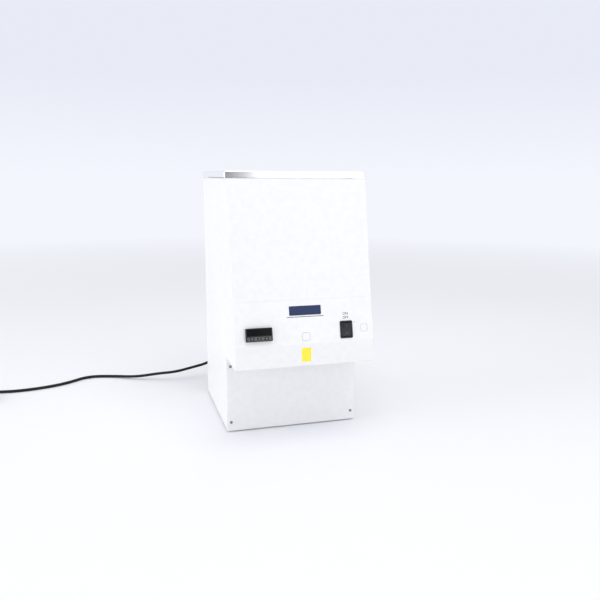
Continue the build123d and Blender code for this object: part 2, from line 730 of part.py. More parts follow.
def outlet_strainer(tank):
    """Slotted cap over the outlet, with a spigot down into the pipe."""
    base = TANK_FLOOR_Z - BOSS_HEIGHT
    top = floor_height(OUTLET_Y) + STRAINER_HEIGHT
    cap = rod((0, OUTLET_Y, base), (0, 0, 1), STRAINER_RADIUS, top - base)
    cap = fillet(cap.edges().sort_by(Axis.Z)[-1], 2 * STRAINER_WALL)
    inner = STRAINER_RADIUS - STRAINER_WALL
    cap -= rod((0, OUTLET_Y, base), (0, 0, 1), inner, top - base - STRAINER_WALL)
    slot = Box(4 * STRAINER_RADIUS, STRAINER_SLOT_WIDTH, STRAINER_HEIGHT / 2)
    for index in range(STRAINER_SLOTS // 2):
        turn = Rot(0, 0, index * 360 / STRAINER_SLOTS)
        cap -= Pos(0, OUTLET_Y, top - STRAINER_HEIGHT / 2) * turn * slot
    cap -= tank_form(0, DECK_HEIGHT) & tank
    cap = cap & tank_form(TANK_WALL, DECK_HEIGHT)
    spigot = rod((0, OUTLET_Y, base), (0, 0, 1), PIPE_BORE - FIT, BOSS_RADIUS)
    spigot -= rod((0, OUTLET_Y, base), (0, 0, 1), PIPE_BORE - STRAINER_WALL, BOSS_RADIUS)
    web_z = floor_height(OUTLET_Y) + TANK_WALL + STRAINER_WALL
    web = rod((0, OUTLET_Y, web_z), (0, 0, 1), inner + FIT, STRAINER_WALL)
    web -= rod((0, OUTLET_Y, web_z), (0, 0, 1), PIPE_BORE - STRAINER_WALL, STRAINER_WALL)
    return cap + web + (spigot - block((-SIDE_X, SIDE_X), (NOSE_FRONT_Y, BASE_BACK_Y), (web_z, DECK_HEIGHT)))


def valve_block():
    """Aluminium valve body with its chamber, seat, ports and heater bore."""
    half_x, half_y = VALVE_WIDTH / 2, VALVE_LENGTH / 2
    body = rounded_slab(
        (-half_x, half_x), (TAP_Y - half_y, TAP_Y + half_y), (VALVE_BASE, VALVE_TOP), BEND_RADIUS
    )
    floor = VALVE_BASE + SEAT_HEIGHT
    body -= rod((0, TAP_Y, floor), (0, 0, 1), CHAMBER_RADIUS, VALVE_HEIGHT)
    body += rod((0, TAP_Y, floor - SHEET), (0, 0, 1), SEAT_LIP_RADIUS, SEAT_LIP_HEIGHT + SHEET)
    body -= rod((0, TAP_Y, VALVE_BASE), (0, 0, 1), SEAT_BORE, VALVE_HEIGHT)
    body -= rod((0, TAP_Y, VALVE_BASE), (0, 0, 1), SPOUT_THREAD_RADIUS + FIT, SPOUT_THREAD)
    body -= rod((0, TAP_Y, PIPE_LEVEL), (0, 1, 0), PIPE_BORE, VALVE_LENGTH)
    socket = (0, VALVE_BACK_Y - PIPE_INSERT, PIPE_LEVEL)
    body -= rod(socket, (0, 1, 0), PIPE_RADIUS + FIT, 2 * PIPE_INSERT)
    start = (-VALVE_WIDTH, TAP_Y - CARTRIDGE_OFFSET, VALVE_BASE + CARTRIDGE_HEIGHT)
    return body - rod(start, (1, 0, 0), CARTRIDGE_RADIUS + FIT, 2 * VALVE_WIDTH)


def valve_heater():
    """Cartridge heater that keeps the valve body warm."""
    start = (-VALVE_WIDTH / 2, TAP_Y - CARTRIDGE_OFFSET, VALVE_BASE + CARTRIDGE_HEIGHT)
    return rod(start, (1, 0, 0), CARTRIDGE_RADIUS, CARTRIDGE_LENGTH)


def valve_bracket():
    """Hat-section bracket that stands on the nose floor under the valve."""
    half = VALVE_WIDTH / 2 - SHEET
    reach = half + BRACKET_FOOT
    base = NOSE_FLOOR_TOP
    outline = Rectangle(2 * half, VALVE_RISE) - Pos(0, -SHEET) * Rectangle(2 * (half - SHEET), VALVE_RISE)
    hat = Pos(0, base + VALVE_RISE / 2) * outline
    for side in both_sides(1):
        foot = Pos(side * (half - SHEET + reach) / 2, base + SHEET / 2)
        hat += foot * Rectangle(reach - half + SHEET, SHEET)
    front = Plane(origin=(0, TAP_Y + VALVE_LENGTH / 2, 0), x_dir=(1, 0, 0), z_dir=(0, -1, 0))
    bracket = extrude(front * hat, amount=VALVE_LENGTH)
    return bracket - rod((0, TAP_Y, base), (0, 0, 1), SPOUT_RADIUS + COLLAR_CLEARANCE, 2 * VALVE_RISE)


def spout():
    """Screwed-in pouring spout with a tapered drip tip."""
    tip = NOSE_FLOOR_HEIGHT - SPOUT_DROP
    shape = turned([
        (SPOUT_BORE, tip),
        (SPOUT_BORE + SHEET / 2, tip),
        (SPOUT_RADIUS, tip + SPOUT_RADIUS),
        (SPOUT_RADIUS, VALVE_BASE),
        (SPOUT_THREAD_RADIUS, VALVE_BASE),
        (SPOUT_THREAD_RADIUS, VALVE_BASE + SPOUT_THREAD - JACKET_GAP),
        (SPOUT_BORE, VALVE_BASE + SPOUT_THREAD - JACKET_GAP),
    ])
    return Pos(0, TAP_Y, 0) * shape


def nozzle_collar():
    """Nylon collar snapped into the nose floor round the spout."""
    bore = SPOUT_RADIUS + COLLAR_CLEARANCE
    shape = turned([
        (bore, NOSE_FLOOR_HEIGHT - COLLAR_THICKNESS),
        (COLLAR_RADIUS - SHEET, NOSE_FLOOR_HEIGHT - COLLAR_THICKNESS),
        (COLLAR_RADIUS, NOSE_FLOOR_HEIGHT - COLLAR_THICKNESS / 2),
        (COLLAR_RADIUS, NOSE_FLOOR_HEIGHT),
        (COLLAR_NECK_RADIUS, NOSE_FLOOR_HEIGHT),
        (COLLAR_NECK_RADIUS, NOSE_FLOOR_TOP),
        (COLLAR_NECK_RADIUS + SHEET / 2, NOSE_FLOOR_TOP),
        (COLLAR_NECK_RADIUS, NOSE_FLOOR_TOP + SHEET),
        (bore, NOSE_FLOOR_TOP + SHEET),
    ])
    return Pos(0, TAP_Y, 0) * shape


def valve_core():
    """Flanged guide tube of the solenoid, with its fixed stop, stud and nut."""
    shape = turned([
        (CORE_BORE, VALVE_TOP),
        (CORE_FLANGE_RADIUS, VALVE_TOP),
        (CORE_FLANGE_RADIUS, VALVE_TOP + CORE_FLANGE),
        (CORE_RADIUS, VALVE_TOP + CORE_FLANGE),
        (CORE_RADIUS, CORE_TOP),
        (CORE_STUD_RADIUS, CORE_TOP),
        (CORE_STUD_RADIUS, CORE_STUD_TOP),
        (0, CORE_STUD_TOP),
        (0, STOP_FACE),
        (CORE_BORE, STOP_FACE),
    ])
    nut = hex_bar((0, TAP_Y, CORE_TOP), (0, 0, 1), COIL_NUT_RADIUS, COIL_NUT_HEIGHT)
    return Pos(0, TAP_Y, 0) * shape + nut


def solenoid_coil():
    """Moulded coil that slides over the core, with its connector tower."""
    half_x, half_y = COIL_WIDTH / 2, COIL_LENGTH / 2
    base = VALVE_TOP + CORE_FLANGE
    coil = block((-half_x, half_x), (TAP_Y - half_y, TAP_Y + half_y), (base, base + COIL_HEIGHT))
    coil = fillet(coil.edges().filter_by(Axis.Z), COIL_FILLET)
    tower_x = COIL_WIDTH / 4
    tower_y = (TAP_Y + half_y, TAP_Y + half_y + COIL_FILLET * 3)
    tower_z = (base + COIL_FILLET, base + COIL_HEIGHT - COIL_FILLET)
    coil += block((-tower_x, tower_x), tower_y, tower_z)
    return coil - rod((0, TAP_Y, base), (0, 0, 1), CORE_RADIUS + FIT, COIL_HEIGHT)


def valve_plunger():
    """Steel plunger with a groove for its spring and a chamfered foot."""
    shape = turned([
        (0, PLUNGER_BASE),
        (PLUNGER_RADIUS - SHEET / 2, PLUNGER_BASE),
        (PLUNGER_RADIUS, PLUNGER_BASE + SHEET / 2),
        (PLUNGER_RADIUS, PLUNGER_TOP),
        (0, PLUNGER_TOP),
    ])
    return Pos(0, TAP_Y, 0) * shape


def valve_seal():
    """Rubber disc on the plunger's foot that closes the seat."""
    return rod((0, TAP_Y, SEAT_TOP), (0, 0, 1), SEAL_RADIUS, SEAL_THICKNESS)


def valve_spring():
    """Return spring between the plunger and the fixed stop."""
    wire = SPRING_WIRE / 2
    length = STOP_FACE - PLUNGER_TOP - SPRING_WIRE
    steps = 4 * SPRING_TURNS
    points, tangents = [], []
    for step in range(steps + 1):
        angle = math.pi / 2 * step
        height = PLUNGER_TOP + wire + length * step / steps
        across_x, across_y = math.cos(angle), math.sin(angle)
        points.append((SPRING_RADIUS * across_x, TAP_Y + SPRING_RADIUS * across_y, height))
        rise = length / steps / (math.pi / 2)
        tangents.append((-SPRING_RADIUS * across_y, SPRING_RADIUS * across_x, rise))
    return wound(points, tangents, wire)


# ----------------------------------------------------------- wound wire
def biarc(start, start_dir, end, end_dir):
    """Two arcs that join two points with the given tangents."""
    p0, p1 = Vector(*start), Vector(*end)
    t0, t1 = Vector(*start_dir).normalized(), Vector(*end_dir).normalized()
    chord = p1 - p0
    both = t0 + t1
    a = 2 * (1 - t0.dot(t1))
    b = chord.dot(both)
    reach = (-b + math.sqrt(b * b + a * chord.dot(chord))) / a
    join = (p0 + t0 * reach + p1 - t1 * reach) * 0.5
    join_dir = (p1 - t1 * reach - p0 - t0 * reach).normalized()
    return [
        (tuple(p0), tuple(t0), tuple(join)),
        (tuple(join), tuple(join_dir), tuple(p1)),
    ]


def biarcs(points, tangents):
    """Arcs, each as start, tangent and end, through points with tangents."""
    arcs = []
    for index in range(len(points) - 1):
        arcs += biarc(points[index], tangents[index], points[index + 1], tangents[index + 1])
    return arcs


def arc_points(arc, count):
    """Points along one arc, for measuring."""
    edge = tangent_arc(arc)
    return [edge @ (step / count) for step in range(count)]


def tangent_arc(arc):
    start, direction, end = arc
    return TangentArc(start, end, tangent=direction)


def sweep_round(edges, start, direction, radius):
    """Sweep a round section along joined edges."""
    section = Plane(origin=start, z_dir=direction) * Circle(radius)
    return sweep(section, path=Wire(edges))


def wound(points, tangents, radius):
    """One unbroken wire along biarcs."""
    edges = [tangent_arc(arc) for arc in biarcs(points, tangents)]
    return sweep_round(edges, points[0], tangents[0], radius)


# -------------------------------------------------------- front controls
def control_spot(x):
    """Plane on the control face at the controls' height, facing outward."""
    share = CONTROLS_RISE / CONTROL_LENGTH
    origin = (x, NOSE_FRONT_Y + CONTROL_RUN * share, LIP_TOP + CONTROL_DROP * share)
    return Plane(origin=origin, x_dir=(1, 0, 0), z_dir=CONTROL_NORMAL)


def rear_spot(x):
    """Plane on the back panel at the service height, facing outward."""
    origin = (x, BASE_BACK_Y, SERVICE_HEIGHT)
    return Plane(origin=origin, x_dir=(-1, 0, 0), z_dir=(0, 1, 0))


def panel_cutout(x, width, height):
    """Rectangular hole through the control face."""
    opening = Rectangle(width + 2 * CUTOUT_CLEARANCE, height + 2 * CUTOUT_CLEARANCE)
    return extrude(control_spot(x) * opening, amount=2 * SHEET, both=True)


def local_block(width, height, low, high, x=0.0, y=0.0):
    """Block on a local plane: centred at (x, y), between two depths."""
    return Pos(x, y, low) * extrude(Rectangle(width, height), amount=high - low)


def key_offsets():
    return (-KEY_PITCH, 0.0, KEY_PITCH)


def keypad_floor():
    """Depth of the keypad's underside inside the bezel."""
    return BEZEL_PROUD - 2 * KEYPAD_THICKNESS


def controller_housing():
    """Bezel and case of the temperature controller."""
    bezel = extrude(RectangleRounded(BEZEL_WIDTH, BEZEL_HEIGHT, BEZEL_CORNER), amount=BEZEL_PROUD)
    bezel = chamfer(bezel.faces().sort_by(Axis.Z)[-1].edges(), BEZEL_CORNER / 3)
    case = local_block(CONTROLLER_BODY_WIDTH, CONTROLLER_BODY_HEIGHT, -CONTROLLER_BODY_DEPTH, 0)
    housing = bezel + case
    housing -= local_block(
        WINDOW_WIDTH, WINDOW_HEIGHT, BEZEL_PROUD - WINDOW_THICKNESS, 2 * BEZEL_PROUD, y=WINDOW_RISE
    )
    housing -= local_block(
        WINDOW_WIDTH, KEYPAD_HEIGHT, keypad_floor(), 2 * BEZEL_PROUD, y=-KEYPAD_DROP
    )
    room = KEY_FLANGE + 2 * KEY_CLEARANCE
    for offset_x in key_offsets():
        housing -= local_block(
            KEY_WIDTH + 2 * room,
            KEY_HEIGHT + 2 * room,
            keypad_floor() - KEY_FLANGE - KEY_TRAVEL - KEY_CLEARANCE,
            2 * BEZEL_PROUD,
            offset_x,
            -KEYPAD_DROP,
        )
    return control_spot(CONTROLLER_X).location * housing


def controller_window():
    """Dark display window set into the bezel."""
    low = BEZEL_PROUD - WINDOW_THICKNESS
    lens = local_block(
        WINDOW_WIDTH - 2 * FIT, WINDOW_HEIGHT - 2 * FIT, low, BEZEL_PROUD - KEY_CLEARANCE, y=WINDOW_RISE
    )
    return control_spot(CONTROLLER_X).location * lens


def controller_keypad():
    """Grey strip under the window, pierced for the three keys."""
    low = keypad_floor()
    strip = local_block(
        WINDOW_WIDTH - 2 * FIT, KEYPAD_HEIGHT - 2 * FIT, low, low + KEYPAD_THICKNESS, y=-KEYPAD_DROP
    )
    for offset_x in key_offsets():
        strip -= local_block(
            KEY_WIDTH + 2 * KEY_CLEARANCE,
            KEY_HEIGHT + 2 * KEY_CLEARANCE,
            low - KEYPAD_THICKNESS,
            2 * BEZEL_PROUD,
            offset_x,
            -KEYPAD_DROP,
        )
    return control_spot(CONTROLLER_X).location * strip


def controller_key(offset_x):
    """Push key: a rounded cap on a flange that the keypad strip holds in."""
    low = keypad_floor()
    flange = local_block(
        KEY_WIDTH + 2 * KEY_FLANGE, KEY_HEIGHT + 2 * KEY_FLANGE, low - KEY_FLANGE, low, offset_x, -KEYPAD_DROP
    )
    height = KEYPAD_THICKNESS + KEY_PROUD
    cap = extrude(RectangleRounded(KEY_WIDTH, KEY_HEIGHT, KEY_CORNER), amount=height)
    cap = chamfer(cap.faces().sort_by(Axis.Z)[-1].edges(), KEY_PROUD / 2)
    key = flange + Pos(offset_x, -KEYPAD_DROP, low) * cap
    return control_spot(CONTROLLER_X).location * key


def controller_clip():
    """Spring frame that pulls the controller against the panel's back."""
    inner_x = CONTROLLER_BODY_WIDTH + 2 * FIT
    inner_y = CONTROLLER_BODY_HEIGHT + 2 * FIT
    outer = Rectangle(inner_x + 2 * CLIP_WALL, inner_y + 2 * CLIP_WALL)
    frame = extrude(outer - Rectangle(inner_x, inner_y), amount=-CLIP_DEPTH)
    return control_spot(CONTROLLER_X).location * Pos(0, 0, -SHEET) * frame


def rocker_profile():
    """Side view of the rocker about its pivot: two faces that meet at 20 degrees."""
    crest = ROCKER_CREST + ROCKER_PIVOT_DEPTH
    lift = ROCKER_RADIUS * math.tan(math.radians(ROCKER_ANGLE))
    corners = [
        (-ROCKER_RADIUS, -ROCKER_BELLY),
        (ROCKER_RADIUS, -ROCKER_BELLY),
        (ROCKER_RADIUS, crest - ROCKER_CREST / 2 + lift),
        (0, crest - ROCKER_CREST / 2),
        (-ROCKER_RADIUS, crest - ROCKER_CREST / 2 + lift),
    ]
    return make_face(Polyline(*corners, close=True)) & Circle(ROCKER_RADIUS)


def switch_rocker(spot):
    """Rocker at rest, with its lower half pressed in, on its own pivot pins."""
    half = ROCKER_WIDTH / 2
    body = across(rocker_profile(), -half, half)
    top = body.edges().filter_by(Axis.X).group_by(Axis.Z)[-1]
    body = fillet(top, BLADE_THICKNESS)
    reach = half + ROCKER_PIN_REACH
    body += rod((-reach, 0, 0), (1, 0, 0), ROCKER_PIN_RADIUS, 2 * reach)
    tilt = Pos(0, 0, -ROCKER_PIVOT_DEPTH) * Rot(ROCKER_ANGLE, 0, 0)
    return spot.location * tilt * body


def switch_housing(spot):
    """Bezel and body of a rocker switch, with its well and spade blades."""
    bezel = extrude(RectangleRounded(SWITCH_WIDTH, SWITCH_HEIGHT, SWITCH_CORNER), amount=SWITCH_PROUD)
    bezel = chamfer(bezel.faces().sort_by(Axis.Z)[-1].edges(), SWITCH_PROUD / 3)
    body = local_block(SWITCH_BODY_WIDTH, SWITCH_BODY_HEIGHT, -SWITCH_BODY_DEPTH, 0)
    housing = bezel + body
    well_x = ROCKER_WIDTH + 2 * ROCKER_CLEARANCE
    well_y = 2 * (ROCKER_RADIUS + ROCKER_CLEARANCE)
    well_floor = -ROCKER_PIVOT_DEPTH - ROCKER_BELLY - ROCKER_CREST
    housing -= local_block(well_x, well_y, well_floor, 2 * SWITCH_PROUD)
    reach = ROCKER_WIDTH / 2 + ROCKER_PIN_REACH + ROCKER_CLEARANCE
    pivot = (-reach, 0, -ROCKER_PIVOT_DEPTH)
    housing -= rod(pivot, (1, 0, 0), ROCKER_PIN_RADIUS + FIT, 2 * reach)
    return spot.location * housing


def switch_blades(spot):
    """Four spade terminals on the back of a rocker switch."""
    low = -SWITCH_BODY_DEPTH - BLADE_LENGTH
    blades = [
        local_block(BLADE_WIDTH, BLADE_THICKNESS, low, -SWITCH_BODY_DEPTH, x, y)
        for x in both_sides(SWITCH_BODY_WIDTH / 4)
        for y in both_sides(SWITCH_BODY_HEIGHT / 4)
    ]
    return [spot.location * blade for blade in blades]


# ------------------------------------------------------------- lid, hinge
def lid_shell():
    """Polished lid: a folded tray turned down over its own insulation."""
    depth = (LID_FRONT_Y, LID_BACK_Y)
    shell = rounded_slab((-LID_X, LID_X), depth, (LID_BASE, LID_TOP), LID_CORNER)
    shell = fillet(shell.faces().sort_by(Axis.Z)[-1].edges(), LID_EDGE_RADIUS)
    half = LID_X - LID_SHEET
    inner = (LID_FRONT_Y + LID_SHEET, LID_BACK_Y - LID_SHEET)
    corner = LID_CORNER - LID_SHEET
    shell -= rounded_slab((-half, half), inner, (SKIN_BASE, LID_TOP - LID_SHEET), corner)
    hem = (inner[0] + LID_HEM, inner[1] - LID_HEM)
    half -= LID_HEM
    return shell - rounded_slab((-half, half), hem, (LID_BASE - LID_SHEET, SKIN_BASE), corner)


def lid_liner(low, high):
    """Slab that fills the lid tray between two heights."""
    half = LID_X - LID_SHEET - FIT
    inner = (LID_FRONT_Y + LID_SHEET + FIT, LID_BACK_Y - LID_SHEET - FIT)
    return rounded_slab((-half, half), inner, (low, high), LID_CORNER - LID_SHEET)


def lid_seal():
    """Silicone ring under the lid that closes on the tank rim."""
    low = RIM_TOP + SEAL_RING_GAP
    outer = tank_prism(SEAL_RING_MARGIN + SEAL_RING_WIDTH, low, SKIN_BASE)
    return outer - tank_prism(SEAL_RING_MARGIN, low - SHEET, SKIN_BASE + SHEET)


def knuckle_span(index):
    low = -HINGE_LENGTH / 2 + KNUCKLE_PITCH * index
    return low + KNUCKLE_GAP / 2, low + KNUCKLE_PITCH - KNUCKLE_GAP / 2


def hinge_lid_leaf():
    """Moving leaf on the lid's back wall, with every second knuckle."""
    half = HINGE_LENGTH / 2 - KNUCKLE_GAP / 2
    depth = (LID_BACK_Y, LID_BACK_Y + LEAF_THICKNESS)
    root = HINGE_Z + BARREL_RADIUS + KNUCKLE_GAP
    leaf = block((-half, half), depth, (root, HINGE_Z + LID_LEAF_HEIGHT))
    for index in range(1, KNUCKLES, 2):
        low, high = knuckle_span(index)
        leaf += block((low, high), depth, (HINGE_Z, root))
        leaf += rod((low, HINGE_Y, HINGE_Z), (1, 0, 0), BARREL_RADIUS, high - low)
    return leaf - rod((-half, HINGE_Y, HINGE_Z), (1, 0, 0), HINGE_PIN_RADIUS + FIT, 2 * half)


def hinge_fixed_leaf(holes):
    """Fixed leaf: out over the deck's edge and folded down the back panel."""
    half = HINGE_LENGTH / 2 - KNUCKLE_GAP / 2
    back = BASE_BACK_Y + LEAF_THICKNESS
    level = (HINGE_Z - LEAF_THICKNESS / 2, HINGE_Z + LEAF_THICKNESS / 2)
    root = HINGE_Y + BARREL_RADIUS + KNUCKLE_GAP
    leaf = block((-half, half), (root, back), level)
    leaf += block((-half, half), (BASE_BACK_Y, back), (HINGE_Z - BACK_LEAF_DROP, level[1]))
    bend = leaf.edges().filter_by(Axis.X).filter_by(lambda e: e.center().Y > back - FIT)
    leaf = fillet(bend.group_by(Axis.Z)[-1], LEAF_THICKNESS / 2)
    for index in range(0, KNUCKLES, 2):
        low, high = knuckle_span(index)
        leaf += block((low, high), (HINGE_Y, root), level)
        leaf += rod((low, HINGE_Y, HINGE_Z), (1, 0, 0), BARREL_RADIUS, high - low)
    leaf -= rod((-half, HINGE_Y, HINGE_Z), (1, 0, 0), HINGE_PIN_RADIUS, 2 * half)
    return leaf - holes


def hinge_screw_points():
    step = HINGE_LENGTH / HINGE_SCREWS
    first = -HINGE_LENGTH / 2 + step / 2
    height = HINGE_Z - BACK_LEAF_DROP + SCREW_MARGIN
    y = BASE_BACK_Y + LEAF_THICKNESS
    return [(first + step * index, y, height) for index in range(HINGE_SCREWS)]


def hinge_pin():
    return rod((-HINGE_LENGTH / 2, HINGE_Y, HINGE_Z), (1, 0, 0), HINGE_PIN_RADIUS, HINGE_LENGTH)


# ---------------------------------------------------- rear and electrics
def gland_body():
    """Nylon gland body: hexagon outside, thread through the panel."""
    point = (GLAND_X, BASE_BACK_Y, SERVICE_HEIGHT)
    gland = hex_bar(point, (0, 1, 0), GLAND_HEX_RADIUS, REAR_FITTING_PROUD)
    cone = Cone(2 * GLAND_HEX_RADIUS, GLAND_HEX_RADIUS, REAR_FITTING_PROUD)
    gland &= placed(Pos(0, 0, REAR_FITTING_PROUD / 2) * cone, point, (0, 1, 0))
    gland += rod(point, (0, -1, 0), GLAND_THREAD_RADIUS, GLAND_THREAD_LENGTH)
    return gland - rod(point, (0, -1, 0), CORD_DIAMETER / 2 + CUTOUT_CLEARANCE, GLAND_THREAD_LENGTH)


def gland_locknut():
    """Nut that clamps the gland from inside the panel."""
    point = (GLAND_X, BASE_BACK_Y - SHEET, SERVICE_HEIGHT)
    nut = hex_bar(point, (0, -1, 0), GLAND_HEX_RADIUS, LOCKNUT_THICKNESS)
    return nut - rod(point, (0, -1, 0), GLAND_THREAD_RADIUS + FIT, LOCKNUT_THICKNESS)


def strain_relief():
    """Tapered rubber sleeve with ring grooves where the flex leaves the gland."""
    def radius_at(height):
        return RELIEF_ROOT_RADIUS + (RELIEF_TIP_RADIUS - RELIEF_ROOT_RADIUS) * height / RELIEF_LENGTH

    profile = [(0, 0), (RELIEF_ROOT_RADIUS, 0)]
    pitch = RELIEF_LENGTH / (RELIEF_GROOVES + 1)
    for groove in range(1, RELIEF_GROOVES + 1):
        low = groove * pitch - RELIEF_GROOVE_WIDTH / 2
        high = groove * pitch + RELIEF_GROOVE_WIDTH / 2
        profile += [
            (radius_at(low), low),
            (radius_at(low) - RELIEF_GROOVE_DEPTH, low),
            (radius_at(high) - RELIEF_GROOVE_DEPTH, high),
            (radius_at(high), high),
        ]
    profile += [(RELIEF_TIP_RADIUS, RELIEF_LENGTH), (0, RELIEF_LENGTH)]
    start = (GLAND_X, BASE_BACK_Y + REAR_FITTING_PROUD, SERVICE_HEIGHT)
    return placed(turned(profile), start, (0, 1, 0))


def fuse_holder():
    """Panel fuse holder: flange outside, threaded barrel inside."""
    point = (FUSE_X, BASE_BACK_Y, SERVICE_HEIGHT)
    holder = rod(point, (0, 1, 0), FUSE_FLANGE_RADIUS, FUSE_FLANGE)
    holder = chamfer(holder.edges().sort_by(Axis.Y)[-1], FUSE_FLANGE / 4)
    return holder + rod(point, (0, -1, 0), FUSE_BODY_RADIUS, FUSE_BODY_LENGTH)


def fuse_cap():
    """Fluted bayonet cap of the fuse holder."""
    length = REAR_FITTING_PROUD - FUSE_FLANGE
    cap = Circle(FUSE_CAP_RADIUS)
    for flute in PolarLocations(FUSE_CAP_RADIUS, FUSE_CAP_FLUTES):
        cap -= flute * Circle(FUSE_FLUTE_RADIUS)
    slot = Pos(0, 0, length) * Box(2 * FUSE_CAP_RADIUS, SHEET, FUSE_FLANGE)
    point = (FUSE_X, BASE_BACK_Y + FUSE_FLANGE, SERVICE_HEIGHT)
    return placed(extrude(cap, amount=length) - slot, point, (0, 1, 0))


def terminal_block():
    """Row of screw terminals on the base pan behind the gland."""
    length = TERMINAL_WAYS * TERMINAL_PITCH
    front = BASE_BACK_Y - 3 * TERMINAL_DEPTH
    low_x = GLAND_X - TERMINAL_PITCH
    depth = (front, front + TERMINAL_DEPTH)
    strip = block((low_x, low_x + length), depth, (PAN_TOP, PAN_TOP + TERMINAL_HEIGHT))
    middle_y = front + TERMINAL_DEPTH / 2
    for way in range(TERMINAL_WAYS):
        x = low_x + TERMINAL_PITCH * (way + 0.5)
        for y in (middle_y - TERMINAL_DEPTH / 4, middle_y + TERMINAL_DEPTH / 4):
            top = (x, y, PAN_TOP + TERMINAL_HEIGHT)
            strip -= rod(top, (0, 0, -1), TERMINAL_WELL_RADIUS, TERMINAL_HEIGHT / 2)
    for way in range(1, TERMINAL_WAYS):
        x = low_x + TERMINAL_PITCH * way
        groove_z = (PAN_TOP + TERMINAL_HEIGHT - SHEET, PAN_TOP + TERMINAL_HEIGHT + SHEET)
        strip -= block((x - SHEET / 2, x + SHEET / 2), depth, groove_z)
    return strip


def relay_heat_sink():
    """Finned sink on the base pan, under the relay."""
    width, length, height = SINK_SIZE
    low_x, low_y = RELAY_X - width / 2, BASE_FRONT_Y + HEATER_MARGIN
    sink = block((low_x, low_x + width), (low_y, low_y + length), (PAN_TOP, PAN_TOP + height))
    room = (width - SINK_FIN) / (SINK_FINS - 1)
    for gap in range(SINK_FINS - 1):
        x = low_x + SINK_FIN + room * gap
        slot_z = (PAN_TOP - SHEET, PAN_TOP + height - SINK_BASE)
        sink -= block((x, x + room - SINK_FIN), (low_y - SHEET, low_y + length + SHEET), slot_z)
    return sink


def solid_state_relay():
    """Relay that switches the tank heaters."""
    width, length, height = RELAY_SIZE
    base = PAN_TOP + SINK_SIZE[2]
    low_y = BASE_FRONT_Y + HEATER_MARGIN + (SINK_SIZE[1] - length) / 2
    relay_x = (RELAY_X - width / 2, RELAY_X + width / 2)
    relay = block(relay_x, (low_y, low_y + length), (base, base + height))
    for y in (low_y, low_y + length):
        relay -= rod((RELAY_X, y, base - SHEET), (0, 0, 1), 4 * SHEET, 2 * height)
    return relay


def transformer_place():
    return TRANSFORMER_X, TANK_MIDDLE_Y - CORE_SIZE[1]


def transformer_core():
    """Laminated frame of the low-voltage transformer, with its feet."""
    x, y = transformer_place()
    width, depth, height = CORE_SIZE
    core = block((x - width / 2, x + width / 2), (y, y + depth), (PAN_TOP, PAN_TOP + height))
    window = ((width - WINDING_SIZE[0]) / 2, (height - WINDING_SIZE[2]) / 2)
    opening_x = (x - width / 2 + window[0], x + width / 2 - window[0])
    opening_z = (PAN_TOP + window[1], PAN_TOP + height - window[1])
    core -= block(opening_x, (y - SHEET, y + depth + SHEET), opening_z)
    foot = SCREW_MARGIN
    core += block((x - width / 2, x + width / 2), (y - foot, y + depth + foot), (PAN_TOP, PAN_TOP + SHEET))
    return core


def transformer_winding():
    """Wound bobbin in the transformer's window."""
    x, y = transformer_place()
    width, length, height = WINDING_SIZE
    middle_y = y + CORE_SIZE[1] / 2
    middle_z = PAN_TOP + CORE_SIZE[2] / 2
    bobbin = Pos(x, middle_y, middle_z) * Box(width, length, height)
    return fillet(bobbin.edges().filter_by(Axis.X), 4 * SHEET)


# ------------------------------------------------------------------- cord
def turn_angle(before, corner, after):
    return (Vector(*corner) - Vector(*before)).get_angle(Vector(*after) - Vector(*corner))


def corner_radii(route):
    """Largest arc that each corner's two runs allow."""
    radii = []
    for before, corner, after in zip(route, route[1:], route[2:]):
        run = min((Vector(*corner) - Vector(*before)).length, (Vector(*after) - Vector(*corner)).length)
        radii.append(0.45 * run / math.tan(math.radians(turn_angle(before, corner, after)) / 2))
    return radii


def cord_route():
    """Corners of the free stretch, from the tip of the strain relief."""
    tip = BASE_BACK_Y + REAR_FITTING_PROUD + RELIEF_LENGTH
    lead = [(GLAND_X, tip, SERVICE_HEIGHT), (GLAND_X, tip + CORD_LEAD, SERVICE_HEIGHT)]
    return lead + CORD_ROUTE


def mains_cord():
    """Free stretch of the flex, as straight runs joined by tangent arcs."""
    route = cord_route()
    radii = corner_radii(route)
    print("cord radii", [round(radius, 1) for radius in radii])
    path = FilletPolyline(*route, radius=radii)
    section = Plane(origin=route[0], z_dir=path % 0) * Circle(CORD_DIAMETER / 2)
    cord = sweep(section, path=path)
    area = math.pi * CORD_DIAMETER ** 2 / 4
    print("cord length", round(path.length, 1), "volume ratio", round(cord.volume / path.length / area, 5))
    return cord


def coil_half_turns():
    """Radius and end height of each half turn: in below, up, and out above."""
    low = CORD_ROUTE[-1][2]
    high = low + COIL_PITCH
    inward = [COIL_OUTER_RADIUS - step * COIL_PITCH / 2 for step in range(COIL_HALF_TURNS)]
    climb = inward[-1] - COIL_PITCH / 2
    turns = [(radius, low, low) for radius in inward]
    turns.append((climb, low, high))
    return turns + [(radius, high, high) for radius in reversed(inward[1:])]


def coil_line():
    """Points and tangents at each quarter turn of the stored coil."""
    x, y, z = CORD_ROUTE[-1]
    x -= CORD_DIAMETER
    side = 1
    points, tangents = [(x, y, z)], [(-1, 0, 0)]
    for radius, low, high in coil_half_turns():
        climb = (high - low) / radius / 2
        y_middle = y - side * radius
        points.append((x - side * radius, y_middle, (low + high) / 2))
        tangents.append((0, -side, climb))
        y -= 2 * side * radius
        side = -side
        points.append((x, y, high))
        tangents.append((-side, 0, 0))
    points.append((x - side * COIL_EXIT_RADIUS, y - side * COIL_EXIT_RADIUS, high))
    tangents.append((0, -side, 0))
    return points, tangents


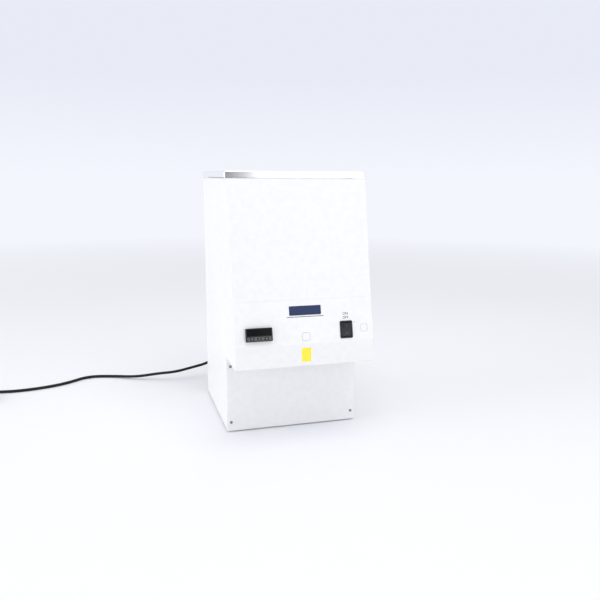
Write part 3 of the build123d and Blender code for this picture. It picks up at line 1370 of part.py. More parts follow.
def coil_gap(arcs):
    """Least gap between strands of the coil, measured on points."""
    line = [tuple(point) for arc in arcs for point in arc_points(arc, COIL_SAMPLES)]
    steps = COIL_SAMPLES * 4
    least = math.inf
    for index, point in enumerate(line):
        for other in line[index + steps:]:
            least = min(least, math.dist(point, other))
    return least - CORD_DIAMETER


def cord_coil():
    """Stored length of the flex, wound flat in two layers."""
    points, tangents = coil_line()
    arcs = biarcs(points, tangents)
    print("coil length", round(sum(tangent_arc(arc).length for arc in arcs), 1))
    print("coil least gap", round(coil_gap(arcs), 2))
    finish = Vector(*points[-1]) + Vector(*tangents[-1]) * CORD_DIAMETER
    edges = [Line(CORD_ROUTE[-1], points[0])]
    edges += [tangent_arc(arc) for arc in arcs]
    edges.append(Line(points[-1], tuple(finish)))
    return sweep_round(edges, CORD_ROUTE[-1], tangents[0], CORD_DIAMETER / 2)


def plug():
    """Three-pin plug, lying on its back with its pins up."""
    points, tangents = coil_line()
    start = Vector(*points[-1]) + Vector(*tangents[-1]) * CORD_DIAMETER
    half = PLUG_WIDTH / 2
    shoulder = half - PLUG_TAPER
    outline = Polyline(
        (shoulder, 0),
        (half, -PLUG_TAPER),
        (half, -PLUG_LENGTH + PLUG_TAPER),
        (shoulder, -PLUG_LENGTH),
        (-shoulder, -PLUG_LENGTH),
        (-half, -PLUG_LENGTH + PLUG_TAPER),
        (-half, -PLUG_TAPER),
        (-shoulder, 0),
        close=True,
    )
    body = extrude(make_face(outline), amount=PLUG_THICKNESS)
    body = chamfer(body.faces().sort_by(Axis.Z)[0].edges(), PLUG_EDGE)
    pins = [(0, EARTH_PIN_Y, EARTH_PIN)]
    pins += [(x, LINE_PIN_Y, LINE_PIN) for x in both_sides(LINE_PIN_X)]
    for x, y, size in pins:
        body += Pos(x, y, PLUG_THICKNESS + PIN_LENGTH / 2) * Box(*size, PIN_LENGTH)
    back = (0, PLUG_SLEEVE_LENGTH, start.Z)
    body += rod(back, (0, -1, 0), PLUG_SLEEVE_RADIUS, PLUG_SLEEVE_LENGTH + SHEET)
    return Pos(start.X, start.Y - PLUG_SLEEVE_LENGTH, 0) * body


# --------------------------------------------------------------- assembly
def cabinet_nodes():
    forward, backward = (0, -1, 0), (0, 1, 0)
    front_holes = screw_holes(lower_screw_points(), forward)
    back_holes = screw_holes(back_screw_points(), backward)
    hinge_holes = screw_holes(hinge_screw_points(), backward)
    screws = screws_at(lower_screw_points(), forward)
    screws += screws_at(back_screw_points() + hinge_screw_points(), backward)
    side = side_panel(front_holes + back_holes)
    return {
        "right_side_panel": side,
        "left_side_panel": mirror(side, about=Plane.YZ),
        "upper_front_panel": upper_front_panel(),
        "control_panel": control_panel(),
        "lower_front_panel": lower_front_panel(front_holes),
        "back_panel": back_panel(back_holes + hinge_holes),
        "top_deck": top_deck(),
        "base_pan": base_pan(),
        "rubber_feet": rubber_feet(),
        "panel_screws": Compound(children=screws),
        "hinge_fixed_leaf": hinge_fixed_leaf(hinge_holes),
        "hinge_lid_leaf": hinge_lid_leaf(),
        "hinge_pin": hinge_pin(),
    }


def tank_nodes():
    tank = wax_tank()
    return {
        "wax_tank": tank,
        "outlet_strainer": outlet_strainer(tank),
        "side_heater_mats": side_heaters(),
        "floor_heater_mat": floor_heater(),
        "tank_insulation": Compound(children=[jacket_wall(), jacket_floor(sensor_pockets())]),
        "support_shelf": support_shelf(),
        "temperature_probe": temperature_probe(),
        "overheat_thermostat": overheat_thermostat(),
        "outlet_pipe": outlet_pipe(tank_form(0, DECK_HEIGHT)),
    }


def valve_nodes():
    return {
        "valve_block": valve_block(),
        "valve_heater": valve_heater(),
        "valve_bracket": valve_bracket(),
        "valve_core": valve_core(),
        "valve_plunger": valve_plunger(),
        "valve_seal": valve_seal(),
        "valve_spring": valve_spring(),
        "solenoid_coil": solenoid_coil(),
        "spout": spout(),
        "nozzle_collar": nozzle_collar(),
    }


def control_nodes():
    nodes = {
        "controller_housing": controller_housing(),
        "controller_window": controller_window(),
        "controller_keypad": controller_keypad(),
        "controller_clip": controller_clip(),
    }
    for name, offset_x in zip(("left", "middle", "right"), key_offsets()):
        nodes[f"controller_key_{name}"] = controller_key(offset_x)
    blades = []
    for name, spot in (("tap", control_spot(SWITCH_X)), ("mains", rear_spot(MAINS_SWITCH_X))):
        nodes[f"{name}_switch_housing"] = switch_housing(spot)
        nodes[f"{name}_switch_rocker"] = switch_rocker(spot)
        blades += switch_blades(spot)
    nodes["switch_blades"] = Compound(children=blades)
    return nodes


def lid_nodes():
    skin_top = SKIN_BASE + SKIN_THICKNESS
    return {
        "lid_shell": lid_shell(),
        "lid_inner_skin": lid_liner(SKIN_BASE, skin_top),
        "lid_insulation": lid_liner(skin_top, LID_TOP - LID_SHEET),
        "lid_seal": lid_seal(),
    }


def service_nodes():
    return {
        "cable_gland": Compound(children=[gland_body(), gland_locknut()]),
        "strain_relief": strain_relief(),
        "fuse_holder": fuse_holder(),
        "fuse_cap": fuse_cap(),
        "terminal_block": terminal_block(),
        "relay_heat_sink": relay_heat_sink(),
        "solid_state_relay": solid_state_relay(),
        "transformer_core": transformer_core(),
        "transformer_winding": transformer_winding(),
        "mains_cord": mains_cord(),
        "cord_coil": cord_coil(),
        "plug": plug(),
    }


def main():
    os.makedirs("parts", exist_ok=True)
    groups = (cabinet_nodes, tank_nodes, valve_nodes, control_nodes, lid_nodes, service_nodes)
    for group in groups:
        for name, shape in group().items():
            export_step(shape, f"parts/{name}.step")


main()
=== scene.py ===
import logging
import math
from dataclasses import dataclass
from enum import Enum
from typing import Iterable, Optional, Sequence

import bmesh
import bpy
from bmesh.types import BMesh
from bpy.types import ID, Material, Mesh, Node, NodeOutputs, NodeSocket, NodeTree, Object
from mathutils import Matrix, Vector
from mathutils.bvhtree import BVHTree


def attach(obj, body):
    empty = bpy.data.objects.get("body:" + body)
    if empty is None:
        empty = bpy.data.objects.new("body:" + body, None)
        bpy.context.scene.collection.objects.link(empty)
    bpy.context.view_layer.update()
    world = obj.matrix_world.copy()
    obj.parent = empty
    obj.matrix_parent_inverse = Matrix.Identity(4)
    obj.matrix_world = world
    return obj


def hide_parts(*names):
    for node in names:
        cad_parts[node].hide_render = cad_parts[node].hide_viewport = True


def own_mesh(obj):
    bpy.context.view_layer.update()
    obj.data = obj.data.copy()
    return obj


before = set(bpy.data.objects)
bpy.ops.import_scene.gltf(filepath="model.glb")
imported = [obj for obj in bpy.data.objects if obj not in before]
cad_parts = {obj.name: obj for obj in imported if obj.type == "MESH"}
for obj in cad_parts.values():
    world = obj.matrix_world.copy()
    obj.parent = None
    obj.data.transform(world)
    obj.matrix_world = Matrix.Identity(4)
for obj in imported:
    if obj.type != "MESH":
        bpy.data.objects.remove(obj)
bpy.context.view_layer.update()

LOG = logging.getLogger("paraffin_dispenser")
IMAGE_SIZE = 600
SENSOR_WIDTH = 36.0
HAIR = 1e-6
FLAT_BEND = math.radians(0.5)
CREST_BEND = math.radians(14.0)
ROUNDED_BEND = math.radians(35.0)
ROUND_SEGMENTS = 3
RAY_START = 0.02
LEAST_ROUGHNESS = 0.02
WEAR_SCALE = 8.0
WAVE_SCALE = 0.314
MIDDLE = (0.3, 0.7)
EDGE_SHADE = 0.94
FACING_FRONT = Matrix.Rotation(math.pi / 2, 4, "X")
FACING_BACK = Matrix.Rotation(-math.pi / 2, 4, "X")
Triple = tuple[float, float, float]
Pair = tuple[float, float]


class Body(Enum):
    """The moving bodies of the dispenser, by their names in the frame."""

    CABINET = "cabinet"
    LID = "lid"
    TAP_ROCKER = "tap_rocker"
    MAINS_ROCKER = "mains_rocker"
    LEFT_KEY = "left_key"
    MIDDLE_KEY = "middle_key"
    RIGHT_KEY = "right_key"
    PLUNGER = "plunger"


class Grain(Enum):
    """The small-scale surface texture that a finish carries."""

    POWDER = "powder"
    BRUSHED = "brushed"
    SPANGLE = "spangle"
    SPARK = "spark"
    FIBRE = "fibre"
    SHEETS = "sheets"


# ---- node graphs
def configured(target: object, **settings: object) -> object:
    """Set several properties of one thing.

    Args:
        target: the thing.
        settings: each property's new value.

    Returns:
        The same thing.
    """
    for key, value in settings.items():
        setattr(target, key, value)
    return target


def socket_of(sockets: Iterable[NodeSocket], identifier: str) -> NodeSocket:
    """Return the socket with an identifier, where others share its name."""
    return next(socket for socket in sockets if socket.identifier == identifier)


class Graph:
    """A node tree under construction."""

    def __init__(self, tree: NodeTree) -> None:
        """Start on the tree that new nodes go into."""
        self.tree = tree

    def add(self, kind: str, settings: Optional[dict] = None, **inputs: object) -> Node:
        """Add a node and fill its inputs.

        Args:
            kind: the node's type.
            settings: properties of the node itself.
            inputs: a value or an output socket for each input, by name with
                underscores for blanks.

        Returns:
            The new node.
        """
        node = configured(self.tree.nodes.new(kind), **(settings or {}))
        for key, value in inputs.items():
            self.feed(node.inputs[key.replace("_", " ")], value)
        return node

    def feed(self, socket: NodeSocket, value: object) -> None:
        """Link a socket or set its plain value.

        Args:
            socket: the input to fill.
            value: an output socket, or a plain value.
        """
        if isinstance(value, NodeSocket):
            self.tree.links.new(value, socket)
        else:
            socket.default_value = value

    def filled(self, kind: str, operation: Optional[str], *values: object) -> NodeSocket:
        """Add a node and fill its inputs in their order.

        Args:
            kind: the node's type.
            operation: its operation, if it has one.
            values: a value or an output socket for each input.

        Returns:
            The first output's socket.
        """
        node = self.add(kind, {"operation": operation} if operation else None)
        for socket, value in zip(node.inputs, values):
            self.feed(socket, value)
        return node.outputs[0]

    def math(self, operation: str, first: object, second: object) -> NodeSocket:
        """Return the result of one operation on two values or sockets."""
        return self.filled("ShaderNodeMath", operation, first, second)

    def times(self, first: object, second: object) -> NodeSocket:
        """Return the product of two values or sockets."""
        return self.math("MULTIPLY", first, second)

    def weighed(self, first: object, second: object, share: float) -> NodeSocket:
        """Return the sum of two sockets, where the first has the given share."""
        return self.math("ADD", self.times(first, share), self.times(second, 1 - share))

    def vector(self, **parts: object) -> NodeSocket:
        """Return a vector of the given X, Y and Z."""
        return self.add("ShaderNodeCombineXYZ", **parts).outputs["Vector"]

    def axis(self, vector: object, name: str) -> NodeSocket:
        """Return a vector's size along one axis."""
        return self.add("ShaderNodeSeparateXYZ", Vector=vector).outputs[name]

    def ranged(self, value: object, source: Pair, low: float = 0.0, high: float = 1.0) -> NodeSocket:
        """Return a value mapped from a source range to the range from low to high."""
        bounds = {"From_Min": source[0], "From_Max": source[1], "To_Min": low, "To_Max": high}
        return self.add("ShaderNodeMapRange", Value=value, **bounds).outputs["Result"]

    def blended(self, share: object, first: Node, second: Node) -> NodeSocket:
        """Return a mix of two shader nodes, with the second's share."""
        return self.filled("ShaderNodeMixShader", None, share, first.outputs[0], second.outputs[0])

    def mixed(self, factor: object, first: object, second: object) -> NodeSocket:
        """Mix two colours.

        Args:
            factor: the share of the second colour.
            first: the first colour.
            second: the second colour.

        Returns:
            The mixed colour's socket.
        """
        node = self.add("ShaderNodeMix", {"data_type": "RGBA"})
        for key, given in (("Factor_Float", factor), ("A_Color", first), ("B_Color", second)):
            self.feed(socket_of(node.inputs, key), given)
        return socket_of(node.outputs, "Result_Color")


def cleared(owner: ID) -> Graph:
    """Return the graph of a material or a world, emptied of its nodes."""
    owner.use_nodes = True
    owner.node_tree.nodes.clear()
    return Graph(owner.node_tree)


class EffectGraph(Graph):
    """A shader node group that takes a place and a size."""

    def __init__(self, name: str, inputs: Sequence[str] = (),
                 outputs: Sequence[str] = ("Height", "Mask")) -> None:
        """Start the group with its interface.

        Args:
            name: the group's name.
            inputs: the names of its other inputs.
            outputs: the names of its outputs.
        """
        super().__init__(bpy.data.node_groups.new(name, "ShaderNodeTree"))
        for key in ("Vector", "Size", *inputs):
            kind = "NodeSocketVector" if key == "Vector" else "NodeSocketFloat"
            self.tree.interface.new_socket(name=key, in_out="INPUT", socket_type=kind)
        for key in outputs:
            self.tree.interface.new_socket(name=key, in_out="OUTPUT", socket_type="NodeSocketFloat")
        self.given = self.add("NodeGroupInput").outputs
        self.place = self.given["Vector"]
        self.rate = self.math("DIVIDE", 1.0, self.given["Size"])

    def layer(self, finer: float = 1.0, detail: float = 2.0, stretch: Optional[Triple] = None) -> NodeSocket:
        """Return noise at the group's size.

        Args:
            finer: how many times finer than the size it is.
            detail: its octaves.
            stretch: a factor for the place along each axis.

        Returns:
            The noise value's socket.
        """
        place, rate = self.place, self.rate
        if stretch:
            place = self.filled("ShaderNodeVectorMath", "MULTIPLY", place, stretch)
        if finer != 1.0:
            rate = self.times(rate, finer)
        return self.add("ShaderNodeTexNoise", Vector=place, Scale=rate, Detail=detail).outputs["Fac"]

    def cells(self, feature: str) -> NodeOutputs:
        """Return the outputs of cells at the group's size, by the feature they show."""
        settings = {"feature": feature}
        return self.add("ShaderNodeTexVoronoi", settings, Vector=self.place, Scale=self.rate).outputs

    def close(self, **results: object) -> NodeTree:
        """Join the outputs, and return the finished group."""
        self.add("NodeGroupOutput", **results)
        return self.tree


class EffectLibrary:
    """Shader node groups that the finishes share, each made once."""

    def __init__(self) -> None:
        """Build one group for each grain, and those for wear and handling."""
        self.grains = {grain: getattr(self, grain.value)() for grain in Grain}
        self.wear = self.edge_wear()
        self.handling = self.handling_marks()

    @staticmethod
    def powder() -> NodeTree:
        """Return the soft orange peel of powder coat, with its fine tooth."""
        graph = EffectGraph("powder_grain")
        peel, tooth = graph.layer(detail=1.0), graph.layer(finer=4.0)
        return graph.close(Height=graph.weighed(peel, tooth, share=0.7), Mask=graph.ranged(tooth, MIDDLE))

    @staticmethod
    def brushed() -> NodeTree:
        """Return the long fine lines of steel brushed along X."""
        graph = EffectGraph("brushed_grain")
        along = (0.02, 1.0, 1.0)
        lines, broad = graph.layer(detail=3.0, stretch=along), graph.layer(finer=0.16, stretch=along)
        return graph.close(Height=lines, Mask=graph.ranged(graph.weighed(lines, broad, share=0.6), MIDDLE))

    @staticmethod
    def spangle() -> NodeTree:
        """Return the cloudy flakes of zinc plate and cast metal."""
        graph = EffectGraph("spangle_grain")
        flakes, fine = graph.cells("F1")["Color"], graph.layer(finer=5.0)
        tone = graph.add("ShaderNodeSeparateColor", Color=flakes).outputs["Red"]
        return graph.close(Height=fine, Mask=graph.weighed(tone, fine, share=0.6))

    @staticmethod
    def spark() -> NodeTree:
        """Return the even pits of a spark-eroded mould."""
        graph = EffectGraph("spark_grain")
        pits = graph.cells("SMOOTH_F1")["Distance"]
        return graph.close(Height=pits, Mask=graph.ranged(graph.layer(finer=0.4), MIDDLE))

    @staticmethod
    def fibre() -> NodeTree:
        """Return matted fibres, long in one way and crossed by others."""
        graph = EffectGraph("fibre_grain")
        along, across = (graph.layer(detail=3.0, stretch=way) for way in ((0.15, 1.0, 1.0), (1.0, 0.2, 0.6)))
        height = graph.math("MAXIMUM", along, across)
        return graph.close(Height=height, Mask=graph.ranged(height, (0.4, 0.7)))

    @staticmethod
    def sheets() -> NodeTree:
        """Return the edges of thin sheets stacked along Y."""
        graph = EffectGraph("sheet_grain")
        bands = graph.add(
            "ShaderNodeTexWave", {"bands_direction": "Y"}, Vector=graph.place,
            Scale=graph.times(graph.rate, WAVE_SCALE), Distortion=0.2,
        )
        return graph.close(Height=bands.outputs["Fac"], Mask=graph.layer(finer=0.5))

    @staticmethod
    def edge_wear() -> NodeTree:
        """Return the broken line that handling rubs along a crest."""
        graph = EffectGraph("edge_wear", ("Crest",), ("Mask",))
        patches = graph.ranged(graph.layer(detail=4.0), (0.42, 0.62), low=0.2)
        return graph.close(Mask=graph.times(patches, graph.given["Crest"]))

    @staticmethod
    def handling_marks() -> NodeTree:
        """Return faint cloudy marks that hands and a cloth leave."""
        graph = EffectGraph("handling_marks", (), ("Mask",))
        return graph.close(Mask=graph.ranged(graph.layer(detail=3.0), (0.45, 0.75)))


@dataclass(frozen=True)
class Finish:
    """One finish of the dispenser, with its texture at real scale."""

    colour: Triple
    roughness: float
    grain: Grain
    size: float
    relief: float
    spread: float = 0.05
    shift: float = 0.06
    metallic: float = 0.0
    sheen: float = 0.0
    specular: float = 0.5
    marks: float = 0.0
    marks_size: float = 0.045
    edge: Optional[Triple] = None

    def shaded(self, factor: float) -> tuple[float, ...]:
        """Return the colour made lighter or darker by a factor, with its alpha."""
        return (*(min(1.0, channel * factor) for channel in self.colour), 1.0)

    def build(self, name: str, effects: EffectLibrary) -> Material:
        """Make the finish's material.

        Args:
            name: the material's name.
            effects: the shared node groups.

        Returns:
            The material.
        """
        material = bpy.data.materials.new(name)
        graph = cleared(material)
        place = graph.add("ShaderNodeTexCoord").outputs["Object"]
        parts = (
            (effects.grains[self.grain], self.size), (effects.handling, self.marks_size),
            (effects.wear, WEAR_SCALE * self.size),
        )
        grain, marks, worn = (
            graph.add("ShaderNodeGroup", {"node_tree": tree}, Vector=place, Size=size)
            for tree, size in parts
        )
        crest = graph.add("ShaderNodeAttribute", {"attribute_name": "crest"}).outputs["Fac"]
        graph.feed(worn.inputs["Crest"], crest)
        mask = grain.outputs["Mask"]
        body = graph.mixed(mask, self.shaded(1 - self.shift), self.shaded(1 + self.shift))
        edge = (*self.edge, 1.0) if self.edge else self.shaded(EDGE_SHADE)
        low = max(LEAST_ROUGHNESS, self.roughness - self.spread)
        high = min(1.0, self.roughness + self.spread)
        smears = graph.times(marks.outputs["Mask"], self.marks)
        height = grain.outputs["Height"]
        bump = graph.add("ShaderNodeBump", Height=height, Distance=self.relief, Strength=1.0)
        shader = graph.add(
            "ShaderNodeBsdfPrincipled", Base_Color=graph.mixed(worn.outputs["Mask"], body, edge),
            Roughness=graph.math("ADD", graph.ranged(mask, (0.0, 1.0), low, high), smears),
            Normal=bump.outputs["Normal"], Metallic=self.metallic, Sheen_Weight=self.sheen,
            Specular_IOR_Level=self.specular,
        )
        graph.add("ShaderNodeOutputMaterial", Surface=shader.outputs["BSDF"])
        return material


class Finishes(Enum):
    """Every finish on the dispenser."""

    WHITE_POWDER_COAT = Finish(
        (0.865, 0.868, 0.880), 0.42, Grain.POWDER, 0.0014, 0.000003,
        spread=0.015, shift=0.002, edge=(0.84, 0.84, 0.85),
    )
    POLISHED_STEEL = Finish(
        (0.90, 0.90, 0.91), 0.12, Grain.BRUSHED, 0.0005, 0.0000008,
        spread=0.03, metallic=1.0, shift=0.03, marks=0.04, edge=(0.90, 0.90, 0.90),
    )
    STAINLESS = Finish(
        (0.68, 0.68, 0.69), 0.26, Grain.BRUSHED, 0.0006, 0.0000015,
        metallic=1.0, shift=0.03, marks=0.05, edge=(0.78, 0.78, 0.78),
    )
    ZINC_PLATE = Finish((0.60, 0.61, 0.59), 0.36, Grain.SPANGLE, 0.006, 0.000004, metallic=1.0, shift=0.10)
    SCREW_STEEL = Finish(
        (0.30, 0.30, 0.31), 0.30, Grain.SPANGLE, 0.0008, 0.000003,
        metallic=1.0, shift=0.08, edge=(0.45, 0.45, 0.45),
    )
    ALUMINIUM = Finish((0.70, 0.71, 0.72), 0.32, Grain.BRUSHED, 0.0006, 0.000006, metallic=1.0)
    BRASS = Finish((0.66, 0.50, 0.22), 0.24, Grain.SPANGLE, 0.0012, 0.000003, metallic=1.0)
    BLACK_PLASTIC = Finish(
        (0.013, 0.014, 0.014), 0.40, Grain.SPARK, 0.0004, 0.000004,
        spread=0.02, shift=0.08, specular=0.3, edge=(0.034, 0.034, 0.036),
    )
    BLACK_GLOSS = Finish(
        (0.005, 0.006, 0.006), 0.10, Grain.POWDER, 0.004, 0.000001,
        spread=0.02, shift=0.1, specular=0.12, marks=0.05,
    )
    GREY_PLASTIC = Finish(
        (0.120, 0.126, 0.124), 0.38, Grain.SPARK, 0.0003, 0.00001, shift=0.10, specular=0.3
    )
    BLACK_KEY = Finish((0.016, 0.016, 0.017), 0.55, Grain.SPARK, 0.0005, 0.00001, sheen=0.1)
    WHITE_NYLON = Finish((0.74, 0.74, 0.70), 0.45, Grain.SPARK, 0.0005, 0.00001, shift=0.02)
    BLACK_RUBBER = Finish((0.018, 0.018, 0.018), 0.62, Grain.SPARK, 0.0006, 0.00002, sheen=0.15)
    BLACK_PVC = Finish(
        (0.010, 0.010, 0.011), 0.38, Grain.POWDER, 0.0012, 0.000008,
        shift=0.12, specular=0.22, marks=0.08,
    )
    SILICONE = Finish((0.52, 0.11, 0.05), 0.50, Grain.SPARK, 0.0012, 0.00002, sheen=0.1)
    SEAL_SILICONE = Finish((0.72, 0.72, 0.68), 0.55, Grain.POWDER, 0.0012, 0.00001, sheen=0.1)
    MINERAL_WOOL = Finish((0.50, 0.42, 0.20), 0.92, Grain.FIBRE, 0.0012, 0.0004, shift=0.22, sheen=0.3)
    COPPER_COIL = Finish((0.022, 0.022, 0.025), 0.34, Grain.SPARK, 0.0008, 0.00002, shift=0.12)
    LAMINATION = Finish((0.07, 0.07, 0.08), 0.45, Grain.SHEETS, 0.0005, 0.00005, metallic=0.6, shift=0.25)
    WINDING_TAPE = Finish((0.60, 0.46, 0.05), 0.35, Grain.BRUSHED, 0.0012, 0.00001)
    NAVY_VINYL = Finish(
        (0.022, 0.036, 0.105), 0.38, Grain.POWDER, 0.0014, 0.000006, shift=0.10, specular=0.25
    )
    YELLOW_VINYL = Finish((0.93, 0.84, 0.05), 0.32, Grain.POWDER, 0.0014, 0.000008, shift=0.02)
    DARK_PRINT = Finish((0.035, 0.038, 0.055), 0.50, Grain.SPARK, 0.0004, 0.000003, shift=0.20)
    GREY_PRINT = Finish((0.44, 0.45, 0.48), 0.50, Grain.SPARK, 0.0004, 0.000003, shift=0.08)
    WHITE_PRINT = Finish((0.70, 0.70, 0.68), 0.50, Grain.SPARK, 0.0004, 0.000003, shift=0.05)

    @property
    def slot(self) -> str:
        """The name of the finish's material, which is the record's slot."""
        return self.name.lower()


class Wardrobe:
    """The finished materials, made on first use."""

    def __init__(self) -> None:
        """Start with the shared effects and no material."""
        self.effects = EffectLibrary()
        self.made: dict[Finishes, Material] = {}
        self.by_slot = {finish.slot: finish for finish in Finishes}

    def material(self, finish: Finishes) -> Material:
        """Return the material of a finish, made on first use."""
        build = finish.value.build
        return self.made.get(finish) or self.made.setdefault(finish, build(finish.slot, self.effects))

    def dress(self, piece: Object, finish: Finishes) -> None:
        """Give every material slot of an object one finish.

        Args:
            piece: the object.
            finish: its finish.
        """
        material = self.material(finish)
        if not piece.material_slots:
            piece.data.materials.append(material)
        for slot in piece.material_slots:
            slot.material = material

    def fit(self, piece: Object, finish: Finishes, body: Body = Body.CABINET,
            nodes: Sequence[str] = (), slotted: bool = True) -> Object:
        """Dress a piece, and say what it rides on, stands for and is made of.

        Args:
            piece: the piece, in place.
            finish: its finish.
            body: the body that it rides on.
            nodes: the CAD nodes that it stands for.
            slotted: whether its finish is one of the record's slots; it is not used.

        Returns:
            The same piece.
        """
        self.dress(piece, finish)
        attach(piece, body.value)
        if nodes:
            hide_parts(*nodes)
        if slotted:
            finish.slot
        return piece


# ---- mesh helpers
def added(name: str, data: ID) -> Object:
    """Put new object data in the scene.

    Args:
        name: the object's name.
        data: its mesh or curve.

    Returns:
        The new object.
    """
    piece = bpy.data.objects.new(name, data)
    bpy.context.scene.collection.objects.link(piece)
    return piece


def meshed(name: str, shape: BMesh) -> Mesh:
    """Turn a bmesh into a mesh.

    Args:
        name: the mesh's name.
        shape: the bmesh, which is freed.

    Returns:
        The new mesh.
    """
    mesh = bpy.data.meshes.new(name)
    shape.to_mesh(mesh)
    shape.free()
    return mesh


def smoothed(mesh: Mesh, angle: float = 32.0) -> Mesh:
    """Shade a mesh smooth but for edges past an angle in degrees, and return it."""
    mesh.shade_smooth()
    mesh.set_sharp_from_angle(angle=math.radians(angle))
    return mesh


def from_bmesh(name: str, shape: BMesh) -> Object:
    """Turn a bmesh into an object, smooth but for its sharp edges.

    Args:
        name: the object's name.
        shape: the bmesh, which is freed.

    Returns:
        The new object.
    """
    bmesh.ops.remove_doubles(shape, verts=shape.verts, dist=HAIR)
    bmesh.ops.recalc_face_normals(shape, faces=shape.faces)
    return added(name, smoothed(meshed(name, shape)))


def merged(shapes: Iterable[BMesh]) -> BMesh:
    """Put several bmeshes in one.

    Args:
        shapes: the bmeshes, which are freed.

    Returns:
        The bmesh of them all.
    """
    whole = bmesh.new()
    for shape in shapes:
        mesh = meshed("part", shape)
        whole.from_mesh(mesh)
        bpy.data.meshes.remove(mesh)
    return whole


def moved(shape: BMesh, place: Matrix) -> BMesh:
    """Move a bmesh, and return it."""
    bmesh.ops.transform(shape, matrix=place, verts=shape.verts)
    return shape


def baked(piece: Object) -> Object:
    """Replace an object's mesh by its evaluated mesh, and drop its modifiers.

    Args:
        piece: the object with live modifiers.

    Returns:
        The same object.
    """
    graph = bpy.context.evaluated_depsgraph_get()
    mesh = bpy.data.meshes.new_from_object(
        piece.evaluated_get(graph), preserve_all_data_layers=True, depsgraph=graph
    )
    piece.modifiers.clear()
    piece.data = mesh
    return piece


def settled(piece: Object, place: Matrix) -> Object:
    """Move an object's mesh to its place, and leave the object at the origin.

    Args:
        piece: a mesh object at the origin.
        place: where its mesh goes.

    Returns:
        The same object.
    """
    piece.data.transform(place)
    piece.data.update()
    return piece


def circle(radius: float, steps: int = 28, height: float = 0.0) -> list[Vector]:
    """Return points round a circle about Z, at a height."""
    turns = [2 * math.pi * step / steps for step in range(steps)]
    return [Vector((radius * math.cos(turn), radius * math.sin(turn), height)) for turn in turns]


def rounded_outline(width: float, height: float, corner: float, steps: int = 6) -> list[Vector]:
    """Return the corners of a rounded rectangle about the origin.

    Args:
        width: its size along X.
        height: its size along Y.
        corner: the corner radius.
        steps: points in each corner, less one.

    Returns:
        The points, anticlockwise.
    """
    points = []
    for index, (side_x, side_y) in enumerate(((1, 1), (-1, 1), (-1, -1), (1, -1))):
        centre = Vector((side_x * (width / 2 - corner), side_y * (height / 2 - corner), 0))
        for step in range(steps + 1):
            angle = math.pi / 2 * (index + step / steps)
            points.append(centre + Vector((math.cos(angle), math.sin(angle), 0)) * corner)
    return points


def lofted(sections: Sequence[Sequence[Vector]], capped: bool = True) -> BMesh:
    """Skin a row of closed sections with the same number of points.

    Args:
        sections: the rings, from one end to the other.
        capped: whether the ends are closed.

    Returns:
        The skinned bmesh.
    """
    shape = bmesh.new()
    rings = [[shape.verts.new(point) for point in section] for section in sections]
    count = len(rings[0])
    for low, high in zip(rings, rings[1:]):
        for index in range(count):
            after = (index + 1) % count
            shape.faces.new((low[index], low[after], high[after], high[index]))
    if capped:
        shape.faces.new(rings[0][::-1])
        shape.faces.new(rings[-1])
    return shape


def stacked(levels: Iterable[tuple[Sequence[Vector], float]]) -> BMesh:
    """Skin flat rings, each raised to its own height."""
    return lofted([[point + Vector((0, 0, height)) for point in ring] for ring, height in levels])


def turned(profile: Sequence[Pair], segments: int = 32) -> BMesh:
    """Revolve a profile of (radius, height) about Z, and close its ends."""
    return lofted([circle(radius, segments, height) for radius, height in profile])


def plate(width: float, height: float, corner: float, thickness: float, edge: float) -> BMesh:
    """Return a thin rounded plate on the XY plane, with an eased upper edge.

    Args:
        width: its size along X.
        height: its size along Y.
        corner: the corner radius.
        thickness: its size along Z.
        edge: how much the upper edge is eased.

    Returns:
        The bmesh.
    """
    base = rounded_outline(width, height, corner)
    top = rounded_outline(width - 2 * edge, height - 2 * edge, corner - edge)
    return stacked(((base, 0.0), (base, thickness - edge), (top, thickness)))


def mark_crests(mesh: Mesh) -> None:
    """Store, for each vertex of a mesh, whether it lies on a rounded edge's crest.

    Args:
        mesh: the mesh with its rounded edges.
    """
    shape = bmesh.new()
    shape.from_mesh(mesh)
    bends = ([edge.calc_face_angle(0.0) for edge in vert.link_edges] for vert in shape.verts)
    crests = [float(sum(bend > CREST_BEND for bend in around) > 1) for around in bends]
    shape.free()
    mesh.attributes.new("crest", "FLOAT", "POINT").data.foreach_set("value", crests)


def eased(node: str, width: float) -> Object:
    """Copy a CAD node with its sharp edges rounded over, to replace it.

    Args:
        node: the CAD node's name.
        width: the width of the rounding.

    Returns:
        The new object, at the origin.
    """
    shape = bmesh.new()
    shape.from_mesh(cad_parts[node].data)
    bmesh.ops.remove_doubles(shape, verts=shape.verts, dist=2 * HAIR)
    bmesh.ops.dissolve_limit(shape, angle_limit=FLAT_BEND, verts=shape.verts, edges=shape.edges)
    mesh = meshed(f"{node}_finished", shape)
    mesh.shade_smooth()
    piece = added(mesh.name, mesh)
    configured(
        piece.modifiers.new("round_over", "BEVEL"), width=width, segments=ROUND_SEGMENTS,
        limit_method="ANGLE", angle_limit=ROUNDED_BEND, miter_outer="MITER_ARC",
    )
    piece.modifiers.new("even_shading", "WEIGHTED_NORMAL")
    baked(piece)
    mark_crests(piece.data)
    return piece


def lowered(piece: Object, below: float, step: Triple) -> None:
    """Shift the lowest vertices of a finished piece.

    Args:
        piece: the piece.
        below: the height under which its vertices move.
        step: how far they move.
    """
    for vert in piece.data.vertices:
        if vert.co.z < below:
            vert.co += Vector(step)


